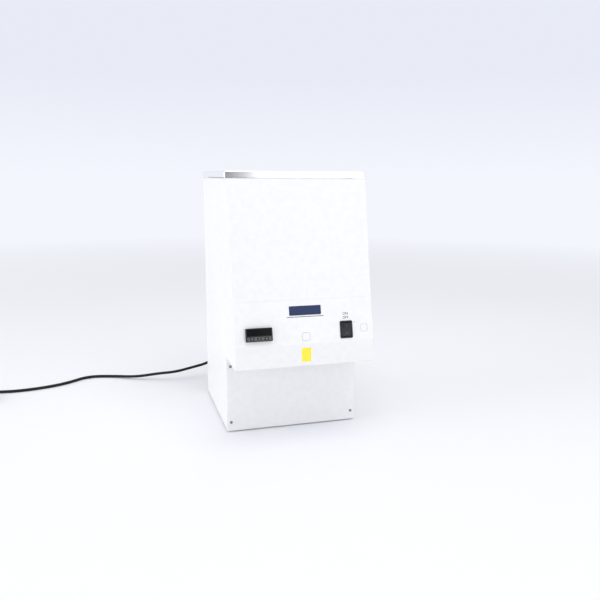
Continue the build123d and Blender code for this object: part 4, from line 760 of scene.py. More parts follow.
def stroke(path: Sequence[Vector], width: float, thickness: float, closed: bool = True) -> BMesh:
    """Return a raised line of even width that follows a flat path.

    Args:
        path: points on the XY plane.
        width: the line's width.
        thickness: its height above the plane.
        closed: whether the path returns to its start.

    Returns:
        The bmesh.
    """
    count = len(path)
    lift = Vector((0, 0, thickness))
    sections = []
    for index, point in enumerate(path):
        before = path[index - 1] if closed or index else point
        after = path[(index + 1) % count] if closed or index < count - 1 else point
        along = (after - before).normalized()
        side = Vector((-along.y, along.x, 0)) * width / 2
        sections.append([point - side, point + side, point + side + lift, point - side + lift])
    if closed:
        sections.append(sections[0])
    return lofted(sections, capped=not closed)


def spaced(corners: Sequence[Pair], steps: int, closed: bool = True) -> list[Vector]:
    """Return points spaced evenly along straight runs between corners.

    Args:
        corners: the corners on the XY plane.
        steps: points on each run.
        closed: whether the last corner runs back to the first.

    Returns:
        The points.
    """
    ends = [Vector((x, y, 0)) for x, y in corners]
    runs = list(zip(ends, ends[1:] + ends[:1] if closed else ends[1:]))
    points = [start.lerp(end, step / steps) for start, end in runs for step in range(steps)]
    return points if closed else points + [ends[-1]]


def laid_on(piece: Object, place: Matrix, target: Object) -> Object:
    """Press a flat print onto another piece's surface.

    Args:
        piece: the print, on the XY plane.
        place: the print's local frame; it is pressed along minus Z.
        target: the piece that it lies on.

    Returns:
        The print.
    """
    mesh = target.data
    tree = BVHTree.FromPolygons([v.co for v in mesh.vertices], [p.vertices[:] for p in mesh.polygons])
    outward = place.to_3x3().col[2]
    for vert in piece.data.vertices:
        foot = place @ Vector((vert.co.x, vert.co.y, 0))
        hit = tree.ray_cast(foot + outward * RAY_START, -outward)[0]
        vert.co = (hit or foot) + outward * vert.co.z
    piece.data.update()
    return piece


def slot_of(node: str) -> str:
    """Return the record's material slot that a CAD node carries."""
    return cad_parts[node].material_slots[0].material.name.split(".")[0]


@dataclass(frozen=True)
class EasedNode:
    """A CAD node that is finished with rounded edges."""

    node: str
    width: float
    body: Body = Body.CABINET

    def build(self, wardrobe: Wardrobe) -> Object:
        """Make the finished copy, which stands for the node.

        Args:
            wardrobe: the finished materials.

        Returns:
            The finished copy.
        """
        finish = wardrobe.by_slot[slot_of(self.node)]
        piece = wardrobe.fit(eased(self.node, self.width), finish, self.body, [self.node])
        LOG.info("%s has %d faces", piece.name, len(piece.data.polygons))
        return piece


# ---- geometry nodes
class NodeRecipe:
    """A Geometry Nodes tree with named inputs that ends in one mesh."""

    def __init__(self, name: str, inputs: dict[str, tuple[str, object]]) -> None:
        """Start the tree with its interface.

        Args:
            name: the tree's name.
            inputs: each input's name, with its kind of socket and its value.
        """
        self.tree = bpy.data.node_groups.new(name, "GeometryNodeTree")
        self.values = {key: value for key, (_, value) in inputs.items()}
        new_socket = self.tree.interface.new_socket
        new_socket(name="Geometry", in_out="INPUT", socket_type="NodeSocketGeometry")
        self.sockets = {
            key: new_socket(name=key, in_out="INPUT", socket_type=kind).identifier
            for key, (kind, _) in inputs.items()
        }
        new_socket(name="Geometry", in_out="OUTPUT", socket_type="NodeSocketGeometry")
        self.graph = Graph(self.tree)
        self.given = self.graph.add("NodeGroupInput").outputs

    def close(self, geometry: NodeSocket) -> None:
        """End the tree in realized geometry with its finish.

        Args:
            geometry: the socket of the geometry with its instances.
        """
        real = self.graph.add("GeometryNodeRealizeInstances", Geometry=geometry)
        dressed = self.graph.add(
            "GeometryNodeSetMaterial", Geometry=real.outputs["Geometry"], Material=self.given["Finish"]
        )
        self.graph.add("NodeGroupOutput", Geometry=dressed.outputs["Geometry"])

    def applied(self, piece: Object) -> Object:
        """Run the tree on an object, and keep its plain mesh.

        Args:
            piece: the object whose mesh is the tree's input.

        Returns:
            The same object, with the result as its mesh.
        """
        modifier = piece.modifiers.new(self.tree.name, "NODES")
        modifier.node_group = self.tree
        for key, value in self.values.items():
            modifier[self.sockets[key]] = value
        return baked(piece)


def points_object(name: str, points: Sequence[Sequence[float]]) -> Object:
    """Return an object whose mesh is loose points.

    Args:
        name: the object's name.
        points: the places of its points.

    Returns:
        The new object.
    """
    mesh = bpy.data.meshes.new(name)
    mesh.from_pydata([tuple(point) for point in points], [], [])
    return added(name, mesh)


# ---- camera
@dataclass
class Viewpoint:
    """The camera at the photograph's place."""

    position: Triple = (-0.3310, -1.2632, 0.4899)
    yaw: float = 16.3764
    pitch: float = 10.8635
    roll: float = 0.2846
    focal_pixels: float = 648.4587

    def build(self) -> None:
        """Create the camera and make it the scene's."""
        yaw, pitch, roll = (math.radians(angle) for angle in (self.yaw, self.pitch, self.roll))
        camera = added("photo_camera", bpy.data.cameras.new("photo_camera"))
        lens = self.focal_pixels / IMAGE_SIZE * SENSOR_WIDTH
        configured(camera.data, sensor_width=SENSOR_WIDTH, lens=lens)
        turn = Matrix.Rotation(-yaw, 4, "Z") @ Matrix.Rotation(math.pi / 2 - pitch, 4, "X")
        level = Matrix.Rotation(roll, 4, "Z")
        camera.matrix_world = Matrix.Translation(self.position) @ turn @ level
        bpy.context.scene.camera = camera


# ---- cord
@dataclass(frozen=True)
class Block:
    """A small rounded block that stands on its foot."""

    size: Triple
    corner: float
    edge: float
    foot: Triple

    def build(self, side: int = 1, rise: float = 0.0, turn: Matrix = Matrix()) -> BMesh:
        """Make the block on one side of the YZ plane.

        Args:
            side: 1 for its own side, and -1 for the other.
            rise: how far it is raised.
            turn: how it is turned about its foot.

        Returns:
            The bmesh.
        """
        width, depth, height = self.size
        x, y, z = self.foot
        place = Matrix.Translation((side * x, y, z + rise)) @ turn
        return moved(plate(width, depth, self.corner, height, self.edge), place)


@dataclass(frozen=True)
class Plug:
    """The plug, face up: its moulded body with a neck, and its pins."""

    width: float = 0.050
    length: float = 0.046
    corner: float = 0.010
    levels: tuple[Pair, ...] = (
        (0.0025, 0.0), (0.0007, 0.0012), (0.0, 0.0045), (0.0, 0.0150), (0.0012, 0.0186), (0.0026, 0.0200)
    )
    sleeve_length: float = 0.012
    neck: tuple[Pair, ...] = ((0.0062, 0.0), (0.0058, 0.004), (0.0052, 0.008), (0.0046, 0.014))
    neck_facets: int = 24
    overlap: float = 0.002
    carrier: Block = Block((0.008, 0.024, 0.0012), 0.001, 0.0003, (0.0, -0.008, 0.0196))
    sheath: Block = Block((0.0064, 0.0040, 0.0090), 0.0006, 0.0002, (0.0111, -0.0112, 0.0198))
    rib: Block = Block((0.0012, 0.0120, 0.0012), 0.0005, 0.0004, (0.0239, 0.0, 0.0055))
    ribs: int = 5
    rib_pitch: float = 0.0021
    earth_pin: Block = Block((0.0040, 0.0080, 0.0180), 0.0006, 0.0005, (0.0, 0.0110, 0.0198))
    line_pin: Block = Block((0.0060, 0.0036, 0.0092), 0.0006, 0.0005, (0.0111, -0.0112, 0.0286))

    def body(self, height: float) -> BMesh:
        """Return the moulded body, with its neck at the flex's height."""
        shape = stacked(
            (rounded_outline(self.width - 2 * inset, self.length - 2 * inset, self.corner), level)
            for inset, level in self.levels
        )
        root = Matrix.Translation((0, self.length / 2 - self.overlap, height)) @ FACING_BACK
        return merged((shape, moved(turned(self.neck, self.neck_facets), root), *self.details()))

    def details(self) -> list[BMesh]:
        """Return the fuse carrier, the pins' sheaths and the finger ribs."""
        details = [self.carrier.build()]
        for side in (-1, 1):
            turn = Matrix.Rotation(side * math.pi / 2, 4, "Y")
            details.append(self.sheath.build(side))
            details += [self.rib.build(side, self.rib_pitch * row, turn) for row in range(self.ribs)]
        return details

    def pins(self) -> BMesh:
        """Return the earth pin and the two line pins."""
        return merged((self.earth_pin.build(), self.line_pin.build(), self.line_pin.build(-1)))


@dataclass(frozen=True)
class CoilTie:
    """The flat strap round the coil, with its two twisted ends."""

    sides: Pair = (0.2557, 0.2833)
    thickness: float = 0.0002
    width: float = 0.004
    corner_steps: int = 6
    end_half: float = 0.004 / 2.4
    end_reach: float = 0.016
    end_steps: int = 8
    end_foot: float = 0.0139
    lean: float = 0.35
    climb: float = 0.55
    start: float = 35.0
    twist: float = 40.0

    def build(self, x: float, heights: Pair, radius: float) -> BMesh:
        """Make the strap and its ends.

        Args:
            x: the strap's middle along X.
            heights: the heights of the coil's lower and upper layer.
            radius: the flex's radius.

        Returns:
            The bmesh.
        """
        (near, far), (low, high) = self.sides, heights
        section = [
            (y + (radius if y == near else -radius), z, math.radians(start + 90 * step / self.corner_steps))
            for y, z, start in ((near, low, 180), (far, low, 270), (far, high, 0), (near, high, 90))
            for step in range(self.corner_steps + 1)
        ]
        outer, half = radius + self.thickness, self.width / 2
        rings = [
            [Vector((edge, y + reach * math.cos(way), z + reach * math.sin(way))) for y, z, way in section]
            for reach, edge in ((radius, x - half), (outer, x - half), (outer, x + half), (radius, x + half))
        ]
        foot = Vector((x, (near + far) / 2, self.end_foot))
        strap = lofted(rings + rings[:1], capped=False)
        return merged((strap, self.end(foot, -1), self.end(foot, 1)))

    def end(self, foot: Vector, side: int) -> BMesh:
        """Make one twisted end.

        Args:
            foot: where it leaves the strap.
            side: -1 for the left end, and 1 for the right.

        Returns:
            The bmesh.
        """
        sections = []
        for step in range(self.end_steps + 1):
            reach = self.end_reach * step / self.end_steps
            angle = side * math.radians(self.start + self.twist * step)
            half = Vector((math.cos(angle), math.sin(angle), 0)) * self.end_half
            thick = Vector((-math.sin(angle), math.cos(angle), 0)) * self.thickness
            middle = foot + Vector((side * reach * self.lean, 0, reach * self.climb))
            sections.append([middle - half, middle + half, middle + half + thick, middle - half + thick])
        return lofted(sections)


@dataclass
class MainsFlex:
    """The mains flex: its free run, stored coil, tie, plug and sleeve."""

    wardrobe: Wardrobe
    diameter: float = 0.0065
    length: float = 2.12
    gland: Triple = (-0.085, 0.179, 0.055)
    route: tuple[Triple, ...] = (
        (-0.085, 0.219, 0.055), (-0.085, 0.249, 0.055), (-0.096, 0.273, 0.0465), (-0.120, 0.285, 0.0318),
        (-0.154, 0.277, 0.0275), (-0.194, 0.262, 0.024), (-0.236, 0.286, 0.016), (-0.285, 0.302, 0.007),
        (-0.338, 0.334, 0.0035), (-0.398, 0.349, 0.0035), (-0.445, 0.306, 0.0035), (-0.499, 0.284, 0.0035),
        (-0.558, 0.275, 0.0035), (-0.600, 0.283, 0.0035), (-0.6335, 0.280, 0.0035),
    )
    coil_radius: float = 0.047
    coil_pitch: float = 0.007
    coil_half_turns: int = 6
    exit_radius: float = 0.062
    steps: int = 12
    facets: int = 32
    rib_share: float = 0.58
    tie: CoilTie = CoilTie()
    plug: Plug = Plug()

    def half_turns(self) -> list[Triple]:
        """Return each half turn's radius and its heights at both ends."""
        low = self.route[-1][2]
        high = low + self.coil_pitch
        inward = [self.coil_radius - step * self.coil_pitch / 2 for step in range(self.coil_half_turns)]
        turns = [(radius, low, low) for radius in inward]
        turns.append((inward[-1] - self.coil_pitch / 2, low, high))
        return turns + [(radius, high, high) for radius in reversed(inward[1:])]

    def coil_points(self) -> list[Vector]:
        """Return the coil's control points, round each half turn by a loop."""
        x, y = self.route[-1][0] - self.diameter, self.route[-1][1]
        points = [Vector((x, y, self.route[-1][2]))]
        angles = [math.pi * step / self.steps for step in range(self.steps + 1)]
        swell = 1 / math.cos(math.pi / self.steps / 2)
        side = 1
        for radius, low, high in self.half_turns():
            middle = y - side * radius
            for step, angle in enumerate(angles[1:], 1):
                reach = side * radius * (swell if step < self.steps else 1.0)
                across, along = reach * math.sin(angle), reach * math.cos(angle)
                height = low + (high - low) * step / self.steps
                points.append(Vector((x - across, middle + along, height)))
            y -= 2 * side * radius
            side = -side
        for angle in angles[1:self.steps // 2 + 1]:
            across, along = self.exit_radius * math.sin(angle), self.exit_radius * (1 - math.cos(angle))
            points.append(Vector((x - across, y - along, high)))
        points.append(points[-1] - Vector((0, self.diameter, 0)))
        return points

    def build(self) -> None:
        """Lay the flex and put its pieces on it."""
        points = [Vector(point) for point in self.route] + self.coil_points()
        curve = configured(
            bpy.data.curves.new("mains_flex", "CURVE"), dimensions="3D", bevel_depth=self.diameter / 2,
            bevel_resolution=5, use_fill_caps=True, resolution_u=6,
        )
        spline = curve.splines.new("NURBS")
        spline.points.add(len(points) - 1)
        for control, point in zip(spline.points, points):
            control.co = (*point, 1.0)
        spline.order_u = 3
        spline.use_endpoint_u = True
        flex = self.wardrobe.fit(
            added("mains_flex", curve), Finishes.BLACK_PVC, nodes=("mains_cord", "cord_coil")
        )
        x, _, low = self.route[-1]
        strap = self.tie.build(x - self.diameter, (low, low + self.coil_pitch), self.diameter / 2)
        end = points[-1]
        middle = end.y - self.plug.sleeve_length - self.plug.length / 2
        place = Matrix.Translation((end.x, middle, 0))
        sleeve, tie = self.sleeve(), from_bmesh("flex_tie", strap)
        body = settled(from_bmesh("plug_body", self.plug.body(end.z)), place)
        pins = settled(from_bmesh("plug_pins", self.plug.pins()), place)
        pieces = [self.wardrobe.fit(piece, finish, nodes=nodes) for piece, finish, nodes in (
            (sleeve, Finishes.BLACK_RUBBER, ["strain_relief"]), (tie, Finishes.BLACK_PLASTIC, []),
            (body, Finishes.BLACK_PLASTIC, ["plug"]), (pins, Finishes.BRASS, []),
        )]
        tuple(self.route[0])
        LOG.info("flex with %d control points", len(points))

    def sleeve(self) -> Object:
        """Return the tapered strain relief with its rings, made by nodes."""
        recipe = NodeRecipe("ribbed_sleeve", {
            "Length": ("NodeSocketFloat", 0.040),
            "Root Radius": ("NodeSocketFloat", 0.0075),
            "Tip Radius": ("NodeSocketFloat", 0.0046),
            "Ribs": ("NodeSocketInt", 7),
            "Groove": ("NodeSocketFloat", 0.0010),
            "Finish": ("NodeSocketMaterial", self.wardrobe.material(Finishes.BLACK_RUBBER)),
        })
        graph, given = recipe.graph, recipe.given
        length, root, tip, count, groove = (
            given[key] for key in ("Length", "Root Radius", "Tip Radius", "Ribs", "Groove")
        )
        top, bottom = (graph.math("SUBTRACT", size, groove) for size in (tip, root))
        core = graph.add(
            "GeometryNodeMeshCone", Vertices=self.facets, Side_Segments=12, Depth=length, Radius_Top=top,
            Radius_Bottom=bottom,
        )
        spacing = graph.math("DIVIDE", length, count)
        half = graph.times(spacing, 0.5)
        row = graph.add("GeometryNodeMeshLine", Count=count, Offset=graph.vector(Z=spacing))
        depth = graph.times(spacing, self.rib_share)
        rib = graph.add("GeometryNodeMeshCylinder", Vertices=self.facets, Radius=1.0, Depth=depth)
        height = graph.axis(graph.add("GeometryNodeInputPosition").outputs["Position"], "Z")
        share = graph.math("DIVIDE", graph.math("ADD", height, half), length)
        taper = graph.times(graph.math("SUBTRACT", tip, root), share)
        radius = graph.math("ADD", root, taper)
        ribs = graph.add(
            "GeometryNodeInstanceOnPoints", Points=row.outputs["Mesh"], Instance=rib.outputs["Mesh"],
            Scale=graph.vector(X=radius, Y=radius, Z=1.0),
        )
        raised = graph.add(
            "GeometryNodeTransform", Geometry=ribs.outputs["Instances"], Translation=graph.vector(Z=half)
        )
        both = graph.add("GeometryNodeJoinGeometry")
        for part in (core.outputs["Mesh"], raised.outputs["Geometry"]):
            graph.feed(both.inputs["Geometry"], part)
        recipe.close(both.outputs["Geometry"])
        piece = recipe.applied(points_object("flex_sleeve", [(0, 0, 0)]))
        return settled(piece, Matrix.Translation(self.gland) @ FACING_BACK)


# ---- cabinet
@dataclass
class Cabinet:
    """The powder-coated sheet work, its feet and its screws."""

    wardrobe: Wardrobe
    ease: float = 0.0003
    butted_ease: float = 0.0001
    panels: tuple[str, ...] = (
        "right_side_panel", "left_side_panel", "lower_front_panel", "back_panel", "top_deck", "base_pan",
        "rubber_feet",
    )
    butted: tuple[str, ...] = ("upper_front_panel", "control_panel")
    seam_top: float = 0.272
    seam_step: Triple = (0.0, -0.00006, -0.0003)
    screw_side: float = 0.1225
    front: float = -0.086
    back: float = 0.169
    front_heights: tuple[float, ...] = (0.020, 0.132)
    back_rows: int = 5
    back_low: float = 0.020
    back_high: float = 0.453
    hinge_screws: int = 4
    hinge_length: float = 0.240
    hinge_height: float = 0.4735
    leaf: float = 0.001
    head_radius: float = 0.0028
    head_height: float = 0.0018
    head_facets: int = 28
    head_smoothness: float = 30.0
    seed: int = 7
    head_root: float = 0.0004
    head_dome: tuple[Pair, ...] = (
        (1.0, 0.0), (1.0, 0.45), (0.93, 0.72), (0.80, 0.90), (0.55, 1.0), (0.0002 / 0.0028, 1.02)
    )
    recess_levels: tuple[Triple, ...] = ((0.0011, 0.00042, 0.35), (0.0030, 0.00064, 1.4))
    recess_corner: float = 0.00008

    def build(self) -> None:
        """Ease the panels' edges, close the seam at the crease and set the screws."""
        for node in self.panels:
            EasedNode(node, self.ease).build(self.wardrobe)
        upper, _ = (EasedNode(node, self.butted_ease).build(self.wardrobe) for node in self.butted)
        lowered(upper, self.seam_top, self.seam_step)
        self.screws()

    def screw_spots(self) -> list[tuple[Triple, float]]:
        """Return each screw's place, and its heading about Z."""
        spots = []
        step = (self.back_high - self.back_low) / (self.back_rows - 1)
        heights = [self.back_low + step * row for row in range(self.back_rows)]
        for side in (-self.screw_side, self.screw_side):
            spots += [((side, self.front, height), 0.0) for height in self.front_heights]
            spots += [((side, self.back, height), math.pi) for height in heights]
        pitch = self.hinge_length / self.hinge_screws
        for index in range(self.hinge_screws):
            x = -self.hinge_length / 2 + pitch * (index + 0.5)
            spots.append(((x, self.back + self.leaf, self.hinge_height), math.pi))
        return spots

    def screw_head(self) -> Object:
        """Return one pan head with its cross recess, head up on the XY plane."""
        radius, height = self.head_radius, self.head_height
        dome = [(radius * across, height * up) for across, up in self.head_dome]
        head = from_bmesh("pan_head", turned([(radius, -self.head_root), *dome], self.head_facets))
        for angle in (0.0, math.pi / 2):
            blade = from_bmesh("recess", stacked(
                (rounded_outline(*size, self.recess_corner, steps=2), height * up)
                for *size, up in self.recess_levels
            ))
            settled(blade, Matrix.Rotation(angle, 4, "Z"))
            cut = head.modifiers.new("recess", "BOOLEAN")
            configured(cut, operation="DIFFERENCE", object=blade, solver="EXACT")
            baked(head)
            bpy.data.objects.remove(blade)
        return head

    def screws(self) -> None:
        """Set a screw at each spot, turned at random about its own axis."""
        head = self.screw_head()
        recipe = NodeRecipe("screw_field", {
            "Screw": ("NodeSocketObject", head),
            "Seed": ("NodeSocketInt", self.seed),
            "Finish": ("NodeSocketMaterial", self.wardrobe.material(Finishes.SCREW_STEEL)),
        })
        graph, given = recipe.graph, recipe.given
        info = graph.add("GeometryNodeObjectInfo", Object=given["Screw"])
        heading = graph.add("GeometryNodeInputNamedAttribute", {"data_type": "FLOAT"}, Name="heading")
        turn = graph.vector(X=math.pi / 2, Z=heading.outputs["Attribute"])
        placed = graph.add(
            "GeometryNodeInstanceOnPoints", Points=given["Geometry"], Instance=info.outputs["Geometry"],
            Rotation=turn,
        )
        spin = graph.add("FunctionNodeRandomValue", {"data_type": "FLOAT"}, Seed=given["Seed"])
        graph.feed(socket_of(spin.inputs, "Max_001"), math.pi)
        spun = graph.add(
            "GeometryNodeRotateInstances", Instances=placed.outputs["Instances"],
            Rotation=graph.vector(Z=socket_of(spin.outputs, "Value_001")), Local_Space=True,
        )
        recipe.close(spun.outputs["Instances"])
        points, headings = zip(*self.screw_spots())
        field_object = points_object("cabinet_screws", points)
        field_object.data.attributes.new("heading", "FLOAT", "POINT").data.foreach_set("value", headings)
        piece = recipe.applied(field_object)
        bpy.data.objects.remove(head)
        smoothed(piece.data, self.head_smoothness)
        self.wardrobe.fit(piece, Finishes.SCREW_STEEL, nodes=["panel_screws"])
        LOG.info("%d screws", len(points))


# ---- control face
@dataclass(frozen=True)
class Label:
    """A thin plain label, by the place of its middle on its surface."""

    name: str
    spot: Pair
    size: Pair
    corner: float
    finish: Finishes
    thickness: float = 0.00025

    def build(self) -> Object:
        """Return the label on the XY plane."""
        return from_bmesh(self.name, plate(*self.size, self.corner, self.thickness, self.thickness / 3))


@dataclass
class ControlFace:
    """The sloping face above the lip, and what is printed or stuck on it."""

    wardrobe: Wardrobe
    crease: Pair = (-0.1613, 0.2705)
    lip_edge: Pair = (-0.179, 0.192)
    labels: tuple[Label, ...] = (
        Label("blank_nameplate", (0.0010, 0.0200), (0.0600, 0.0170), 0.0016, Finishes.NAVY_VINYL),
        Label("nameplate_rule", (0.0010, 0.0313), (0.0690, 0.0011), 0.0004, Finishes.NAVY_VINYL, 0.0001),
    )
    sticker: Label = Label(
        "blank_sticker", (0.0006, 0.1718), (0.0179, 0.0260), 0.0015, Finishes.YELLOW_VINYL, 0.00012
    )
    dot: Label = Label("grey_dot", (0.0946, 0.0465), (0.0016, 0.0016), 0.0007, Finishes.GREY_PRINT, 0.0001)
    frames: tuple[tuple[str, Pair, float], ...] = (
        ("grey_frame_middle", (0.0005, 0.0675), 0.0150), ("grey_frame_right", (0.1124, 0.0577), 0.0140)
    )
    frame_line: float = 0.0006
    frame_height: float = 0.00006
    words: tuple[tuple[str, str, Pair], ...] = (
        ("switch_word_upper", "ON", (0.0776, 0.0300)), ("switch_word_lower", "OFF", (0.0776, 0.0372))
    )
    capitals: float = 0.0046
    capital_share: float = 0.7
    boldness: float = 0.012
    ink_depth: float = 0.00003

    def place(self, x: float, down: float) -> Matrix:
        """Return the local frame of a spot on the face.

        Args:
            x: the spot's X.
            down: its distance down the face from the crease.

        Returns:
            A matrix whose X runs right, Y up the face and Z outwards.
        """
        (y, z), (low_y, low_z) = self.crease, self.lip_edge
        slope = Matrix.Rotation(math.atan2(z - low_z, y - low_y), 4, "X")
        return Matrix.Translation((x, y, z)) @ slope @ Matrix.Translation((0, -down, 0))

    def put(self, piece: Object, place: Matrix, finish: Finishes) -> None:
        """Put a flat piece on the cabinet, and dress it."""
        self.wardrobe.fit(settled(piece, place), finish, slotted=False)

    def stick(self, *labels: Label) -> None:
        """Stick labels on the face."""
        for label in labels:
            self.put(label.build(), self.place(*label.spot), label.finish)

    def word(self, name: str, text: str) -> Object:
        """Write generic letters on the XY plane.

        Args:
            name: the piece's name.
            text: the letters.

        Returns:
            The letters' mesh object.
        """
        curve = configured(
            bpy.data.curves.new(name, "FONT"), body=text, align_x="CENTER", align_y="CENTER",
            size=self.capitals / self.capital_share, extrude=self.ink_depth,
            offset=self.capitals * self.boldness,
        )
        written = added(f"{name}_text", curve)
        bpy.context.view_layer.update()
        graph = bpy.context.evaluated_depsgraph_get()
        mesh = bpy.data.meshes.new_from_object(written.evaluated_get(graph), depsgraph=graph)
        bpy.data.objects.remove(written)
        return added(name, mesh)

    def build(self) -> None:
        """Put the blank nameplate, the sticker and the marks in place."""
        self.stick(*self.labels)
        (x, z), y = self.sticker.spot, self.lip_edge[0]
        self.put(self.sticker.build(), Matrix.Translation((x, y, z)) @ FACING_FRONT, self.sticker.finish)
        for name, spot, size in self.frames:
            inner, corner = size - self.frame_line, size / 5
            line = stroke(rounded_outline(inner, inner, corner), self.frame_line, self.frame_height)
            self.put(from_bmesh(name, line), self.place(*spot), Finishes.GREY_PRINT)
        self.stick(self.dot)
        for name, text, spot in self.words:
            self.put(self.word(name, text), self.place(*spot), Finishes.DARK_PRINT)


# ---- controls
@dataclass
class Controls:
    """The controller, the two rocker switches and their marks."""

    wardrobe: Wardrobe
    face: ControlFace
    middle_down: float = 0.0590
    tap_x: float = 0.0778
    mains_middle: Triple = (-0.008, 0.169, 0.055)
    mark_reach: float = 0.0062
    controller_x: float = -0.08675
    key_pitch: float = 0.013
    key_drop: float = 0.007
    print_height: float = 0.00003
    line: float = 0.00042
    bar: float = 0.0019
    ring: float = 0.0017
    key_ring: float = 0.0009
    arrow: Triple = (0.0010, -0.0008, 0.0011)
    nodes: tuple[EasedNode, ...] = (
        EasedNode("controller_housing", 0.00025),
        EasedNode("controller_window", 0.0002),
        EasedNode("controller_keypad", 0.0001),
        EasedNode("controller_key_left", 0.0002, Body.LEFT_KEY),
        EasedNode("controller_key_middle", 0.0002, Body.MIDDLE_KEY),
        EasedNode("controller_key_right", 0.0002, Body.RIGHT_KEY),
        EasedNode("tap_switch_housing", 0.0003),
        EasedNode("tap_switch_rocker", 0.0002, Body.TAP_ROCKER),
        EasedNode("mains_switch_housing", 0.0003),
        EasedNode("mains_switch_rocker", 0.0002, Body.MAINS_ROCKER),
    )

    def build(self) -> None:
        """Finish the controls and mark the rockers and keys."""
        made = {each.node: each.build(self.wardrobe) for each in self.nodes}
        bar = spaced(((0, -self.bar), (0, self.bar)), steps=8, closed=False)
        tap = self.face.place(self.tap_x, self.middle_down)
        mains = Matrix.Translation(self.mains_middle) @ Matrix.Rotation(math.pi, 4, "Z") @ FACING_FRONT
        for name, place, body, ink in (
            ("tap", tap, Body.TAP_ROCKER, Finishes.GREY_PLASTIC),
            ("mains", mains, Body.MAINS_ROCKER, Finishes.WHITE_PRINT),
        ):
            rocker = made[f"{name}_switch_rocker"]
            for word, path, side in (("on", bar, 1), ("off", circle(self.ring), -1)):
                spot = place @ Matrix.Translation((0, side * self.mark_reach, 0))
                self.mark(f"{name}_{word}_mark", path, spot, rocker, body, ink)
        self.key_marks(made)

    def key_marks(self, made: dict[str, Object]) -> None:
        """Print a ring and two arrows on the controller's keys.

        Args:
            made: the finished pieces, by node.
        """
        tip, foot, half = self.arrow
        up = spaced(((0, tip), (-half, foot), (half, foot)), steps=3)
        down = spaced(((0, -tip), (half, -foot), (-half, -foot)), steps=3)
        for index, (name, path, body) in enumerate((
            ("left", circle(self.key_ring, steps=18), Body.LEFT_KEY),
            ("middle", down, Body.MIDDLE_KEY),
            ("right", up, Body.RIGHT_KEY),
        )):
            x = self.controller_x + (index - 1) * self.key_pitch
            spot = self.face.place(x, self.middle_down + self.key_drop)
            key = made[f"controller_key_{name}"]
            self.mark(f"{name}_key_mark", path, spot, key, body, Finishes.GREY_PRINT)

    def mark(self, name: str, path: Sequence[Vector], place: Matrix, target: Object, body: Body,
             ink: Finishes) -> None:
        """Print a line mark on a control.

        Args:
            name: the mark's name.
            path: the line's path.
            place: the mark's local frame.
            target: the piece that carries it.
            body: the body that it rides on.
            ink: its finish.
        """
        closed = (path[0] - path[-1]).length < 2 * (path[0] - path[1]).length
        piece = from_bmesh(name, stroke(path, self.line, self.print_height, closed))
        self.wardrobe.fit(laid_on(piece, place, target), ink, body, slotted=False)


# ---- lid
@dataclass
class Lid:
    """The polished lid and its hinge."""

    wardrobe: Wardrobe
    nodes: tuple[EasedNode, ...] = (
        EasedNode("lid_shell", 0.0002, Body.LID),
        EasedNode("lid_inner_skin", 0.0003, Body.LID),
        EasedNode("lid_seal", 0.0003, Body.LID),
        EasedNode("hinge_lid_leaf", 0.00015, Body.LID),
        EasedNode("hinge_fixed_leaf", 0.00015),
        EasedNode("hinge_pin", 0.0002),
    )
    skirt_height: float = 0.488
    skirt_drop: float = 0.0012

    def build(self) -> None:
        """Finish the lid and its hinge, with the tray's skirt near the deck."""
        made = {each.node: each.build(self.wardrobe) for each in self.nodes}
        lowered(made["lid_shell"], self.skirt_height, (0.0, 0.0, -self.skirt_drop))


# ---- inner parts
@dataclass
class InnerParts:
    """The tank, the tap and the supply fittings, and all that stays as it is."""

    wardrobe: Wardrobe
    nodes: tuple[EasedNode, ...] = (
        EasedNode("wax_tank", 0.0003),
        EasedNode("outlet_strainer", 0.00015),
        EasedNode("valve_block", 0.0004),
        EasedNode("valve_spring", 0.0001, Body.PLUNGER),
        EasedNode("spout", 0.0002),
        EasedNode("nozzle_collar", 0.0003),
        EasedNode("cable_gland", 0.0003),
        EasedNode("fuse_holder", 0.0003),
        EasedNode("fuse_cap", 0.0002),
    )
    lift: float = 0.003

    def build(self) -> None:
        """Finish the visible nodes, and dress the others by their slots."""
        made = {each.node: each.build(self.wardrobe) for each in self.nodes}
        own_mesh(made["valve_spring"])
        for node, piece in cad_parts.items():
            if piece.material_slots and slot_of(node) in self.wardrobe.by_slot:
                self.wardrobe.dress(piece, self.wardrobe.by_slot[slot_of(node)])


# ---- studio
@dataclass
class Lamp:
    """A soft square lamp that looks at a point."""

    name: str
    position: Triple
    size: float
    power: float
    target: Triple = (0.0, 0.0, 0.25)

    def build(self) -> None:
        """Create the lamp."""
        light = bpy.data.lights.new(self.name, "AREA")
        lamp = added(self.name, configured(light, size=self.size, energy=self.power))
        turn = (Vector(self.target) - Vector(self.position)).to_track_quat("-Z", "Y").to_matrix()
        lamp.matrix_world = Matrix.Translation(self.position) @ turn.to_4x4()
        lamp.visible_camera = False


